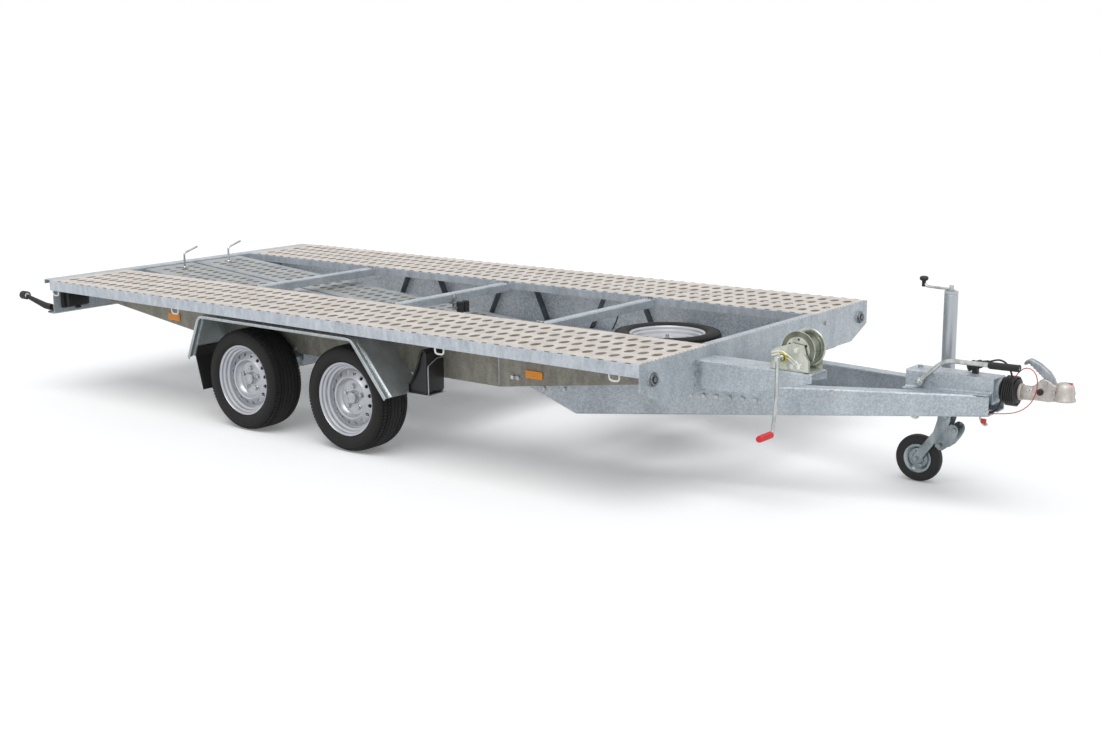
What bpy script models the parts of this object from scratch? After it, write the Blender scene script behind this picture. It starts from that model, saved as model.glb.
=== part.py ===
"""Car hauler trailer: twin axle, two perforated treadways on fish-belly side members,
a V drawbar with overrun coupling, jockey wheel, hand winch and two stowed loading ramps.

Metres, +Z up, +X is the towing direction, +Y is the trailer's left. Places along X are
measured from the rear edge of the deck; the root empty then centres the trailer on X = 0.
"""
import bmesh
import bpy
import math
from mathutils import Matrix, Vector

# Wheels, tyres 195/50 R13
WHEEL_X = (1.581, 2.330)
TYRE_RADIUS = 0.2625
TYRE_WIDTH = 0.195
TYRE_SECTION = 0.0805
RIM_RADIUS = TYRE_RADIUS - TYRE_SECTION
WHEEL_STEPS = 20
DRUM_RADIUS = 0.115

# Heights: the guards clear the wheels, and the deck clears the guards
GUARD_CLEAR = 0.053
DECK_CLEAR = 0.080
GUARD_TOP = 2 * TYRE_RADIUS + GUARD_CLEAR
DECK_HEIGHT = GUARD_TOP + DECK_CLEAR

# Deck and treadways
DECK_LENGTH = 4.106
DECK_WIDTH = 2.017
TREAD_WIDTH = 0.540
TREAD_LIP = 0.056
TREAD_SHEET = 0.003
PLATE = 0.004
FIT = 0.0003
BEND = 0.006
OUTER = DECK_WIDTH / 2
INNER = OUTER - TREAD_WIDTH
UNDERSIDE = DECK_HEIGHT - TREAD_SHEET

# Mudguards, flaps and chocks
GUARD_OUTER = OUTER - 0.0185
GUARD_SHEET = 0.0025
GUARD_BEAD = 0.004
FLAP_BOTTOM = TYRE_RADIUS - 0.0925
FLAP_SHEET = 0.005
WHEEL_FACE = GUARD_OUTER - 0.034
WHEEL_Y = WHEEL_FACE - TYRE_WIDTH / 2

# Side members: a web with flanges turned inwards, deepest between the axles and the drawbar
SIDE_FACE = WHEEL_FACE - TYRE_WIDTH - 0.017
SIDE_FLANGE = 0.050
SIDE_BELLY = UNDERSIDE - 0.261
SIDE_REAR_TAPER = WHEEL_X[0] - 0.381
SIDE_REAR_BOTTOM = UNDERSIDE - 0.114
SIDE_FRONT_TAPER = DECK_LENGTH - 0.966
SIDE_FRONT_BOTTOM = UNDERSIDE - 0.125
OUTRIGGER_FIRST = 0.350
OUTRIGGER_PITCH = 0.500
OUTRIGGER_COUNT = int((DECK_LENGTH - 0.6) / OUTRIGGER_PITCH) + 1
STRUT_X = (1.320, 2.060, 2.800)
STRUT_HEAD = 0.095
STRUT_FOOT = 0.215

# Rear cross member, open to the rear
REAR_WEB = 0.030
REAR_LIP = 0.048
REAR_BOTTOM = UNDERSIDE - 0.193
REAR_FOOT = 0.065

# Front plate
FRONT_FLANGE = 0.044
FRONT_CORNER = DECK_HEIGHT - 0.118
FRONT_BOTTOM = DECK_HEIGHT - 0.188
FRONT_CUT = OUTER - 0.1635
FRONT_CROSS = 0.120
LASHING_EYE_Y = OUTER - 0.0885
LASHING_EYE_Z = DECK_HEIGHT - 0.075
LASHING_EYE_RADIUS = 0.030

# Cross members between the treadways
CROSS_MEMBER_X = (1.13, 2.18, DECK_LENGTH - 0.956)
CROSS_WIDTH = 0.050
CROSS_DEPTH = 0.045
CROSS_DROP = 0.008
CROSS_SHEET = 0.003

# Lashing loops under the outer lips
LOOP_X = (0.076, 1.140, DECK_LENGTH - 1.096, DECK_LENGTH - 0.126)
LOOP_ROD = 0.005
LOOP_HALF = 0.026
LOOP_DROP = 0.028

# Drawbar: two tapered channels that meet under the overrun housing
BEAM_REAR = DECK_LENGTH - 0.906
BEAM_CHAMFER = 0.240
BEAM_FRONT = DECK_LENGTH + 1.104
BEAM_NOSE_Y = 0.086
BEAM_SPREAD = (SIDE_FACE - 0.120 - BEAM_NOSE_Y) / (BEAM_FRONT - BEAM_REAR)
BEAM_NOSE_TOP = DECK_HEIGHT - 0.151
BEAM_TOP_FALL = (BEAM_NOSE_TOP - SIDE_BELLY - 0.0368) / (BEAM_FRONT - BEAM_REAR)
BEAM_NOSE_BOTTOM = BEAM_NOSE_TOP - 0.089
BEAM_BOTTOM_FALL = BEAM_TOP_FALL + 0.0438
BEAM_REAR_DEPTH = 0.040
BEAM_FLANGE = 0.070
BEAM_SHEET = 0.005
DRAWBAR_CROSS_TOP = DECK_HEIGHT - 0.168

# Spare wheel, flat on a bar over the drawbar
SPARE_X = DECK_LENGTH - 0.536
SPARE_DROP = 0.0421

# Axles with rubber-sprung trailing arms
AXLE_LEAD = 0.150
AXLE_HEIGHT = SIDE_BELLY - 0.042
AXLE_TUBE = 0.070
AXLE_HALF = SIDE_FACE - 0.044
ARM_THICK = 0.034
SPINDLE_RADIUS = 0.028

# Ramps, stowed on a slope in the centre bay
RAMP_GAP = 0.024
RAMP_WIDTH = INNER - 0.1015 - RAMP_GAP / 2
RAMP_REAR = 0.062
RAMP_FRONT = 2.430
RAMP_TOP = DECK_HEIGHT - 0.001
RAMP_LIP = 0.055
RAMP_REST_X = RAMP_FRONT - 0.100
RAMP_REST_HALF = 0.030
RAMP_REST_LOW = SIDE_BELLY + PLATE + 0.006
RAMP_REST_THICK = 0.016
RAMP_FALL = ((RAMP_TOP - RAMP_LIP - RAMP_REST_LOW - RAMP_REST_THICK - FIT)
             / (RAMP_REST_X + RAMP_REST_HALF))
RAMP_LOCK_X = 0.180
RAMP_LOCK_Y = 0.170

# Winch and its stand on the front plate
STAND_OUTER = -0.573
STAND_INNER = -0.440
STAND_TOP = DECK_HEIGHT - 0.048
STAND_FRONT = DECK_LENGTH + 0.549
DRUM_X = DECK_LENGTH + 0.472
DRUM_Z = STAND_TOP + 0.090
DRUM_FLANGE = 0.080
CRANK_X = DECK_LENGTH + 0.409
CRANK_Z = STAND_TOP + 0.054
CRANK_DROP = 0.305

# Coupling
COUPLING_Z = BEAM_NOSE_TOP + 0.015
COUPLING_NOSE = BEAM_FRONT + 0.325
HOUSING_REAR = BEAM_FRONT - 0.380
HOUSING_TOP = BEAM_NOSE_TOP + 0.064
HOUSING_HALF = 0.060
SHAFT_RADIUS = 0.025
BALL_RADIUS = 0.0255

# Electric cable wound round the bellows, its parked plug, and the breakaway cable
CABLE = 0.008
COIL_RADIUS = 0.0605
COIL_TURNS = 5
COIL_PITCH = 0.0088
COIL_STEPS = 20
BREAKAWAY = 0.004

# Jockey wheel on the left beam
JOCKEY_X = BEAM_FRONT - 0.320
JOCKEY_DROP = 0.474
JOCKEY_TUBE = 0.030
JOCKEY_WALL = 0.0035
JOCKEY_PLAY = 0.0009
JOCKEY_WHEEL = 0.1075
JOCKEY_TRAIL = 0.117

# Marker lamps on rubber arms reach furthest to the rear
LAMP_INNER = OUTER - 0.2315
LAMP_OUTER = OUTER - 0.0655
LAMP_LOW = REAR_BOTTOM + 0.028
LAMP_HIGH = LAMP_LOW + 0.108
MARKER_X = -0.190
MARKER_Y = OUTER + 0.0215
MARKER_Z = REAR_BOTTOM + 0.094
MARKER_RADIUS = 0.024
MARKER_LENGTH = 0.045

ORIGIN_X = (COUPLING_NOSE + MARKER_X - MARKER_LENGTH / 2) / 2
SIDES = (("right", -1), ("left", 1))

COLOURS = {
    "galvanised": ((0.42, 0.46, 0.48), 0.45, 0.85),
    "tread": ((0.62, 0.57, 0.53), 0.60, 0.60),
    "rubber": ((0.020, 0.020, 0.022), 0.80, 0.0),
    "tyre": ((0.025, 0.025, 0.028), 0.85, 0.0),
    "silver": ((0.60, 0.61, 0.63), 0.35, 0.80),
    "zinc": ((0.55, 0.56, 0.50), 0.35, 0.90),
    "black": ((0.015, 0.015, 0.015), 0.50, 0.0),
    "cast": ((0.56, 0.54, 0.52), 0.60, 0.70),
    "red": ((0.60, 0.02, 0.02), 0.40, 0.0),
}


def clear_scene():
    for old in list(bpy.data.objects):
        bpy.data.objects.remove(old, do_unlink=True)


clear_scene()
trailer = bpy.data.collections.new("car_hauler_trailer")
bpy.context.scene.collection.children.link(trailer)
root = bpy.data.objects.new("trailer_root", None)
root.location = (-ORIGIN_X, 0, 0)
trailer.objects.link(root)


def material(name, kind):
    colour, roughness, metallic = COLOURS[kind]
    made = bpy.data.materials.new(name)
    made.use_nodes = True
    shader = made.node_tree.nodes["Principled BSDF"]
    shader.inputs["Base Color"].default_value = (*colour, 1)
    shader.inputs["Roughness"].default_value = roughness
    shader.inputs["Metallic"].default_value = metallic
    return made


def link(data, at=(0, 0, 0)):
    made = bpy.data.objects.new("shape", data)
    made.parent = root
    made.location = at
    trailer.objects.link(made)
    return made


def baked(shape):
    """Replace a shape by the closed, welded mesh that its curve and modifiers give."""
    bpy.context.view_layer.update()
    view = bpy.context.evaluated_depsgraph_get()
    mesh = bpy.data.meshes.new_from_object(shape.evaluated_get(view), depsgraph=view)
    work = bmesh.new()
    work.from_mesh(mesh)
    bmesh.ops.remove_doubles(work, verts=work.verts, dist=0.00002)
    bmesh.ops.dissolve_degenerate(work, edges=work.edges, dist=0.00002)
    bmesh.ops.recalc_face_normals(work, faces=work.faces)
    work.to_mesh(mesh)
    work.free()
    made = link(mesh, shape.location)
    made.rotation_euler = shape.rotation_euler
    bpy.data.objects.remove(shape, do_unlink=True)
    bpy.context.view_layer.update()
    return made


def combine(operation, body, tools):
    """Boolean each tool into the body, one at a time, and drop the tools."""
    for tool in tools:
        step = body.modifiers.new("join", "BOOLEAN")
        step.operation = operation
        step.object = tool
        step.solver = "EXACT"
        body = baked(body)
        bpy.data.objects.remove(tool, do_unlink=True)
    return body


def fuse(body, *tools):
    return combine("UNION", body, tools)


def cut(body, *tools):
    return combine("DIFFERENCE", body, tools)


def finish(name, shape, kind, smooth=False):
    shape.name = name
    shape.data.name = name
    shape.data.materials.clear()
    shape.data.materials.append(material(name, kind))
    if smooth:
        shape.data.shade_smooth()
        shape.data.set_sharp_from_angle(angle=math.radians(35))
    return shape


def box(low, high, bevel=0.0):
    """A block between two corners, given in any order."""
    work = bmesh.new()
    bmesh.ops.create_cube(work, size=1.0)
    size = [abs(b - a) for a, b in zip(low, high)]
    middle = [(a + b) / 2 for a, b in zip(low, high)]
    bmesh.ops.scale(work, vec=size, verts=work.verts)
    bmesh.ops.translate(work, vec=middle, verts=work.verts)
    mesh = bpy.data.meshes.new("box")
    work.to_mesh(mesh)
    work.free()
    made = link(mesh)
    if bevel:
        soft = made.modifiers.new("edge", "BEVEL")
        soft.width = bevel
        soft.segments = 1
        made = baked(made)
    return made


def rod(start, end, radius, steps=16, end_radius=None):
    """A round bar, or a cone when end_radius is given, from start to end."""
    start = Vector(start)
    end = Vector(end)
    along = end - start
    work = bmesh.new()
    bmesh.ops.create_cone(
        work, cap_ends=True, segments=steps, radius1=radius,
        radius2=radius if end_radius is None else end_radius, depth=along.length)
    turn = along.to_track_quat("Z", "Y").to_matrix().to_4x4()
    bmesh.ops.transform(
        work, matrix=Matrix.Translation((start + end) / 2) @ turn, verts=work.verts)
    mesh = bpy.data.meshes.new("rod")
    work.to_mesh(mesh)
    work.free()
    return link(mesh)


def tube(points, radius, resolution=2):
    """A bent bar through the points."""
    curve = bpy.data.curves.new("tube", "CURVE")
    curve.dimensions = "3D"
    curve.bevel_depth = radius
    curve.bevel_resolution = resolution
    curve.use_fill_caps = True
    line = curve.splines.new("POLY")
    line.points.add(len(points) - 1)
    for spot, place in zip(line.points, points):
        spot.co = (*place, 1)
    return baked(link(curve))


def plate(outline, plane, low, high):
    """A flat outline in plane XY, XZ or YZ, between two places along the third axis."""
    curve = bpy.data.curves.new("plate", "CURVE")
    curve.dimensions = "2D"
    curve.fill_mode = "BOTH"
    curve.extrude = abs(high - low) / 2
    line = curve.splines.new("POLY")
    line.use_cyclic_u = True
    line.points.add(len(outline) - 1)
    for spot, (across, up) in zip(line.points, outline):
        spot.co = (across, up, 0, 1)
    middle = (low + high) / 2
    turns = {"XY": ((0, 0, 0), (0, 0, middle)),
             "XZ": ((math.pi / 2, 0, 0), (0, middle, 0)),
             "YZ": ((math.pi / 2, 0, math.pi / 2), (middle, 0, 0))}
    turn, at = turns[plane]
    shape = link(curve, at)
    shape.rotation_euler = turn
    shape = baked(shape)
    shape.data.transform(shape.rotation_euler.to_matrix().to_4x4())
    shape.data.transform(Matrix.Translation(shape.location))
    shape.rotation_euler = (0, 0, 0)
    shape.location = (0, 0, 0)
    return shape


def rounded(chain, radius, steps=1):
    """The chain with each inner corner turned into a small arc."""
    points = [Vector(spot) for spot in chain]
    result = [points[0]]
    for before, corner, after in zip(points, points[1:], points[2:]):
        into = (before - corner).normalized()
        away = (after - corner).normalized()
        half = into.angle(away) / 2
        reach = radius / math.tan(half)
        first = corner + into * reach
        last = corner + away * reach
        for step in range(steps + 1):
            share = step / steps
            result.append(first.lerp(corner, share).lerp(corner.lerp(last, share), share))
    result.append(points[-1])
    return result


def sheet(rows, thickness):
    """Folded sheet metal: an open skin over rows of points, thickened to its inside."""
    work = bmesh.new()
    grid = [[work.verts.new(spot) for spot in row] for row in rows]
    for near, far in zip(grid, grid[1:]):
        for a, b, c, d in zip(near, near[1:], far[1:], far):
            work.faces.new((a, b, c, d))
    mesh = bpy.data.meshes.new("sheet")
    work.to_mesh(mesh)
    work.free()
    shape = link(mesh)
    wall = shape.modifiers.new("wall", "SOLIDIFY")
    wall.thickness = thickness
    wall.offset = -1
    wall.use_even_offset = True
    return baked(shape)


def turned(profile, steps, axis="Z", at=(0, 0, 0), closed=False):
    """Turn (radius, height) points about an axis through the place; height runs along it."""
    work = bmesh.new()
    spots = [work.verts.new((radius, 0, height)) for radius, height in profile]
    for a, b in zip(spots, spots[1:]):
        work.edges.new((a, b))
    if closed:
        work.edges.new((spots[-1], spots[0]))
    mesh = bpy.data.meshes.new("turned")
    work.to_mesh(mesh)
    work.free()
    shape = link(mesh)
    lathe = shape.modifiers.new("lathe", "SCREW")
    lathe.steps = steps
    lathe.render_steps = steps
    lathe.use_merge_vertices = True
    lathe.merge_threshold = 0.00005
    shape = baked(shape)
    turns = {"Z": Matrix(), "Y": Matrix.Rotation(-math.pi / 2, 4, "X"),
             "-Y": Matrix.Rotation(math.pi / 2, 4, "X"), "X": Matrix.Rotation(math.pi / 2, 4, "Y")}
    shape.data.transform(turns[axis])
    shape.location = at
    return shape


def channel_rows(chain, plane, places):
    """Copy a flat chain to each place along the axis that its plane leaves out."""
    order = {"XZ": lambda u, v, w: (u, w, v), "YZ": lambda u, v, w: (w, u, v)}
    spots = rounded([(u, v, 0) for u, v in chain], BEND)
    return [[order[plane](spot.x, spot.y, place) for spot in spots] for place in places]


# Deck

DECK_REAR = REAR_WEB + FIT
DECK_FRONT = DECK_LENGTH - FIT


def treadway(name, side):
    """Pressed deck tray with lips turned down, and its lashing loops."""
    low = DECK_HEIGHT - TREAD_LIP
    chain = [(INNER, low), (INNER, DECK_HEIGHT), (OUTER, DECK_HEIGHT), (OUTER, low)]
    rows = channel_rows([(u * side, v) for u, v in chain], "YZ", (DECK_REAR, DECK_FRONT))
    if side > 0:
        rows.reverse()
    tray = sheet(rows, TREAD_SHEET)
    hang = (OUTER - TREAD_SHEET - LOOP_ROD / 2) * side
    loops = []
    for x in LOOP_X:
        bow = [(x - LOOP_HALF, hang, low + 0.008), (x - LOOP_HALF, hang, low - LOOP_DROP),
               (x + LOOP_HALF, hang, low - LOOP_DROP), (x + LOOP_HALF, hang, low + 0.008)]
        loops.append(tube(rounded(bow, 0.014), LOOP_ROD, resolution=1))
    return finish(name, fuse(tray, *loops), "tread")


def side_bottom(x):
    """Height of the side member's lower edge."""
    rear_share = max(0.0, (SIDE_REAR_TAPER - x) / (SIDE_REAR_TAPER - REAR_WEB))
    front_share = max(0.0, (x - SIDE_FRONT_TAPER) / (DECK_LENGTH - SIDE_FRONT_TAPER))
    return (SIDE_BELLY + rear_share * (SIDE_REAR_BOTTOM - SIDE_BELLY)
            + front_share * (SIDE_FRONT_BOTTOM - SIDE_BELLY))


def side_member(name, side):
    """Fish-belly channel with the outriggers that carry the treadway's lips."""
    top = UNDERSIDE - FIT
    inside = SIDE_FACE - SIDE_FLANGE
    rows = []
    for x in (REAR_WEB + FIT, SIDE_REAR_TAPER, SIDE_FRONT_TAPER, DECK_LENGTH - FIT):
        chain = [(x, inside * side, top), (x, SIDE_FACE * side, top),
                 (x, SIDE_FACE * side, side_bottom(x)), (x, inside * side, side_bottom(x))]
        rows.append(rounded(chain, BEND))
    if side > 0:
        rows.reverse()
    web = sheet(rows, PLATE)
    arms = []
    for number in range(OUTRIGGER_COUNT):
        x = OUTRIGGER_FIRST + number * OUTRIGGER_PITCH
        tip_in = INNER + TREAD_SHEET + BEND
        tip_out = OUTER - TREAD_SHEET - BEND
        root_in = SIDE_FACE - PLATE / 2
        inner_arm = [(tip_in, top), (root_in, top), (root_in, top - 0.055),
                     (tip_in, top - 0.030)]
        outer_arm = [(root_in, top), (tip_out, top), (tip_out, top - 0.030),
                     (root_in, top - 0.055)]
        for outline in (inner_arm, outer_arm):
            arms.append(plate([(u * side, v) for u, v in outline], "YZ", x, x + PLATE))
    for x in STRUT_X:
        for way in (-1, 1):
            head = x + way * STRUT_HEAD
            foot = x + way * STRUT_FOOT
            low = max(side_bottom(foot), side_bottom(foot + PLATE)) + PLATE + FIT
            high = top - PLATE - FIT
            strut = [(head, high), (head + PLATE, high), (foot + PLATE, low), (foot, low)]
            arms.append(plate(strut, "XZ", side * (inside + 0.002),
                              side * (SIDE_FACE - 0.003)))
    return finish(name, fuse(web, *arms), "galvanised")


def rear_cross_member():
    """Full-width channel open to the rear, with lamp windows and a ledge for the ramps."""
    tail = REAR_WEB - REAR_FOOT
    chain = [(-REAR_LIP, DECK_HEIGHT - 0.026), (-REAR_LIP, DECK_HEIGHT),
             (REAR_WEB, DECK_HEIGHT), (REAR_WEB, REAR_BOTTOM), (tail, REAR_BOTTOM),
             (tail, REAR_BOTTOM + 0.012)]
    end = OUTER - 0.018
    body = sheet(channel_rows(chain, "XZ", (-end, end)), PLATE)
    windows = [box((-0.01, side * LAMP_INNER - side * FIT, LAMP_LOW - FIT),
                   (0.06, side * LAMP_OUTER + side * FIT, LAMP_HIGH + FIT)) for _, side in SIDES]
    ledge_top = ramp_bottom(RAMP_REAR + 0.033) - FIT
    ledge = box((REAR_WEB - PLATE / 2, -RAMP_WIDTH, ledge_top - PLATE),
                (RAMP_REAR + 0.033, RAMP_WIDTH, ledge_top))
    return finish("rear_cross_member", fuse(cut(body, *windows), ledge), "galvanised")


def front_plate():
    """Headboard plate with cut lower corners, a top flange, two lashing eyes and, behind it,
    the channel that rests on both drawbar beams."""
    outline = [(-OUTER, DECK_HEIGHT), (OUTER, DECK_HEIGHT), (OUTER, FRONT_CORNER),
               (FRONT_CUT, FRONT_BOTTOM), (-FRONT_CUT, FRONT_BOTTOM), (-OUTER, FRONT_CORNER)]
    face = plate(outline, "YZ", DECK_LENGTH, DECK_LENGTH + PLATE)
    flange = box((DECK_LENGTH - FRONT_FLANGE, FIT - INNER, UNDERSIDE),
                 (DECK_LENGTH + PLATE / 2, INNER - FIT, DECK_HEIGHT))
    eyes = [rod((DECK_LENGTH + PLATE / 2, side * LASHING_EYE_Y, LASHING_EYE_Z),
                (DECK_LENGTH + PLATE + 0.008, side * LASHING_EYE_Y, LASHING_EYE_Z),
                LASHING_EYE_RADIUS, steps=12) for _, side in SIDES]
    rear = DECK_LENGTH - FRONT_CROSS
    front = DECK_LENGTH + PLATE / 2
    end = SIDE_FACE - SIDE_FLANGE - 0.004
    top = side_bottom(rear) + 0.006
    chain = [(rear, beam_top(rear) + FIT), (rear, top), (front, top),
             (front, beam_top(front) + FIT)]
    channel = sheet(channel_rows(chain, "XZ", (-end, end)), PLATE)
    return finish("front_plate", fuse(face, flange, channel, *eyes), "galvanised")


def cross_member(name, x):
    """Upturned channel between the two treadways."""
    top = DECK_HEIGHT - CROSS_DROP
    half = CROSS_WIDTH / 2
    chain = [(x - half, top - CROSS_DEPTH), (x - half, top), (x + half, top),
             (x + half, top - CROSS_DEPTH)]
    end = INNER - FIT
    return finish(name, sheet(channel_rows(chain, "XZ", (-end, end)), CROSS_SHEET), "galvanised")


# Drawbar

def beam_y(x):
    return BEAM_NOSE_Y + BEAM_SPREAD * (BEAM_FRONT - x)


def beam_top(x):
    return BEAM_NOSE_TOP - BEAM_TOP_FALL * (BEAM_FRONT - x)


def beam_bottom(x):
    return BEAM_NOSE_BOTTOM - BEAM_BOTTOM_FALL * (BEAM_FRONT - x)


def drawbar_beam(name, side):
    """Tapered channel open to the inside, its rear end cut off at a slant below."""
    rows = []
    for x in (BEAM_REAR, BEAM_REAR + BEAM_CHAMFER, BEAM_FRONT):
        low = beam_bottom(x) if x > BEAM_REAR else beam_top(x) - BEAM_REAR_DEPTH
        flange = BEAM_FLANGE if x > BEAM_REAR else BEAM_FLANGE * 0.6
        chain = [(x, (beam_y(x) - flange) * side, beam_top(x)), (x, beam_y(x) * side, beam_top(x)),
                 (x, beam_y(x) * side, low), (x, (beam_y(x) - flange) * side, low)]
        rows.append(rounded(chain, BEND))
    if side > 0:
        rows.reverse()
    return finish(name, sheet(rows, BEAM_SHEET), "galvanised")


def drawbar_cross_rear():
    """Channel that hangs the rear ends of the drawbar between the side members."""
    rear = BEAM_REAR - 0.005
    front = rear + 0.090
    end = SIDE_FACE - PLATE - FIT
    chain = [(rear, beam_top(rear) + FIT), (rear, DRAWBAR_CROSS_TOP), (front, DRAWBAR_CROSS_TOP),
             (front, beam_top(front) + FIT)]
    return finish("drawbar_cross_rear", sheet(channel_rows(chain, "XZ", (-end, end)), PLATE),
                  "galvanised")


# Wheels and axles

def tyre_profile():
    """Closed section of a low tyre: tread, shoulders, sidewalls and beads."""
    half = TYRE_WIDTH / 2
    seat = RIM_RADIUS - 0.009
    one_side = [(TYRE_RADIUS, 0.068), (TYRE_RADIUS - 0.006, 0.083), (TYRE_RADIUS - 0.034, half),
                (RIM_RADIUS + 0.010, 0.091), (RIM_RADIUS + 0.001, 0.076), (seat + FIT, 0.070)]
    return one_side + [(radius, -height) for radius, height in reversed(one_side)]


def rim_profile(running):
    """Rim section from the middle out, the ring at its highest and the holes on the slope
    outside it. A running wheel has its drum and grease cap on it."""
    lip = RIM_RADIUS
    seat = RIM_RADIUS - 0.009
    barrel = seat - 0.004
    if running:
        middle = [(0, 0.047), (0.027, 0.046), (0.031, 0.024)]
        behind = [(DRUM_RADIUS, 0.016), (DRUM_RADIUS, -0.040), (0, -0.040)]
    else:
        middle = [(0.034, 0.024)]
        behind = [(0.096, 0.030), (0.086, 0.020), (0.034, 0.020)]
    dish = [(0.084, 0.024), (0.098, 0.052), (0.110, 0.050), (0.143, 0.028)]
    outside = [(0.151, 0.044), (0.163, 0.062), (lip, 0.084), (lip, 0.077), (seat, 0.071),
               (seat, -0.071), (lip, -0.077), (lip - 0.004, -0.082)]
    inside = [(barrel, -0.060), (barrel - 0.008, 0.010), (0.142, 0.022)]
    return middle + dish + outside + inside + behind


def road_wheel(position, x, name, side):
    axis = "Y" if side > 0 else "-Y"
    at = (x, side * WHEEL_Y, TYRE_RADIUS)
    label = f"{position}_{name}"
    rim = turned(rim_profile(True), WHEEL_STEPS, axis, at)
    tyre = turned(tyre_profile(), WHEEL_STEPS, axis, at, closed=True)
    finish(f"rim_{label}", rim, "silver", smooth=True)
    finish(f"tyre_{label}", tyre, "tyre", smooth=True)


def spare_wheel():
    """Wheel lying flat in the centre bay, its face up, and the bar that carries it."""
    seat = beam_top(SPARE_X) - SPARE_DROP
    at = (SPARE_X, 0, seat + FIT + TYRE_WIDTH / 2)
    rim = turned(rim_profile(False), WHEEL_STEPS, "Z", at, closed=True)
    tyre = turned(tyre_profile(), WHEEL_STEPS, "Z", at, closed=True)
    finish("spare_rim", rim, "silver", smooth=True)
    finish("spare_tyre", tyre, "tyre", smooth=True)
    half = 0.040
    end = beam_y(SPARE_X + half) - BEAM_SHEET - FIT
    bar = box((SPARE_X - half, -end, seat - 0.012), (SPARE_X + half, end, seat))
    disc_top = at[2] + 0.036
    post = rod((SPARE_X, 0, seat - 0.006), (SPARE_X, 0, disc_top + 0.040), 0.009, steps=10)
    clamp = rod((SPARE_X, 0, disc_top + FIT), (SPARE_X, 0, disc_top + 0.008), 0.045, steps=6)
    finish("spare_carrier", fuse(bar, post, clamp), "zinc")


def axle(name, x):
    """Square axle tube with a trailing arm, spindle and backing plate at each end."""
    lead = x + AXLE_LEAD
    half = AXLE_TUBE / 2
    body = box((lead - half, -AXLE_HALF, AXLE_HEIGHT - half),
               (lead + half, AXLE_HALF, AXLE_HEIGHT + half), bevel=0.008)
    slope = math.atan2(AXLE_HEIGHT - TYRE_RADIUS, AXLE_LEAD)
    pieces = []
    for _, side in SIDES:
        outline = []
        for centre_x, centre_z, radius, start in ((lead, AXLE_HEIGHT, half + 0.004, -90),
                                                  (x, TYRE_RADIUS, half - 0.004, 90)):
            for step in range(5):
                angle = math.radians(start + step * 45) + slope
                outline.append((centre_x + radius * math.cos(angle),
                                centre_z + radius * math.sin(angle)))
        near = AXLE_HALF - 0.002
        far = AXLE_HALF + ARM_THICK
        pieces.append(plate(outline, "XZ", side * near, side * far))
        drum_face = WHEEL_Y - 0.040
        pieces.append(rod((x, side * (far - 0.004), TYRE_RADIUS),
                          (x, side * (drum_face - 2 * FIT), TYRE_RADIUS), SPINDLE_RADIUS, steps=8))
        pieces.append(rod((x, side * (drum_face - 0.013), TYRE_RADIUS),
                          (x, side * (drum_face - 0.007), TYRE_RADIUS), DRUM_RADIUS, steps=12))
        seat_top = min(side_bottom(lead - 0.05), side_bottom(lead + 0.05)) - FIT
        pieces.append(box((lead - 0.05, side * (SIDE_FACE - SIDE_FLANGE), AXLE_HEIGHT),
                          (lead + 0.05, side * (AXLE_HALF - 0.001), seat_top)))
    return finish(name, fuse(body, *pieces), "galvanised")


# Mudguards, flaps and chocks

GUARD_CHAIN = ((WHEEL_X[0] - TYRE_RADIUS - 0.1135, TYRE_RADIUS + 0.0855),
               (WHEEL_X[0] - TYRE_RADIUS - 0.0135, GUARD_TOP),
               (WHEEL_X[1] + TYRE_RADIUS - 0.1625, GUARD_TOP),
               (WHEEL_X[1] + TYRE_RADIUS + 0.0575, TYRE_RADIUS + 0.0545))


def mudguard(name, side):
    """Straight-sided guard over both wheels with a bead and a turned-down outer edge."""
    inner = SIDE_FACE + FIT
    lip = 0.012
    middle = (GUARD_CHAIN[0][0] + GUARD_CHAIN[3][0]) / 2
    rows = []
    for across, drop in ((inner, 0), (GUARD_OUTER - 0.046, 0), (GUARD_OUTER - 0.038, -GUARD_BEAD),
                         (GUARD_OUTER - 0.030, 0), (GUARD_OUTER, 0), (GUARD_OUTER, lip)):
        spots = rounded([(u, v, 0) for u, v in GUARD_CHAIN], 0.030, steps=3)
        rows.append([(middle + (spot.x - middle) * (1 - drop / 0.7), across * side,
                      spot.y - drop) for spot in spots])
    if side < 0:
        rows.reverse()
    return finish(name, sheet(rows, GUARD_SHEET), "galvanised")


def mud_flap(name, side):
    """Rubber flap on the inside of the mudguard's rear end."""
    foot = Vector(GUARD_CHAIN[0])
    along = (Vector(GUARD_CHAIN[1]) - foot).normalized()
    inward = Vector((along.y, -along.x)) * (GUARD_SHEET + FIT)
    top = foot + along * 0.06 + inward
    bend = foot + inward
    chain = [tuple(top), tuple(bend), (bend.x + 0.048, FLAP_BOTTOM)]
    rows = []
    for across in (SIDE_FACE + 0.056, GUARD_OUTER - 0.050):
        rows.append([(u, across * side, v) for u, v in chain])
    if side > 0:
        rows.reverse()
    return finish(name, sheet(rows, FLAP_SHEET), "rubber")


def wheel_chock(name, side):
    """Wedge chock held against the side member ahead of the mudguard."""
    x, z = GUARD_CHAIN[3]
    outline = [(x + 0.030, z + 0.013), (x + 0.140, z + 0.013), (x + 0.150, z + 0.028),
               (x + 0.150, z + 0.183), (x + 0.130, z + 0.203), (x + 0.115, z + 0.183),
               (x + 0.085, z + 0.113), (x + 0.030, z + 0.053)]
    wedge = plate(outline, "XZ", side * (SIDE_FACE + FIT), side * (SIDE_FACE + 0.110))
    return finish(name, wedge, "black")


# Ramps

def ramp_top(x):
    return RAMP_TOP - RAMP_FALL * x


def ramp_bottom(x):
    return ramp_top(x) - RAMP_LIP


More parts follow.
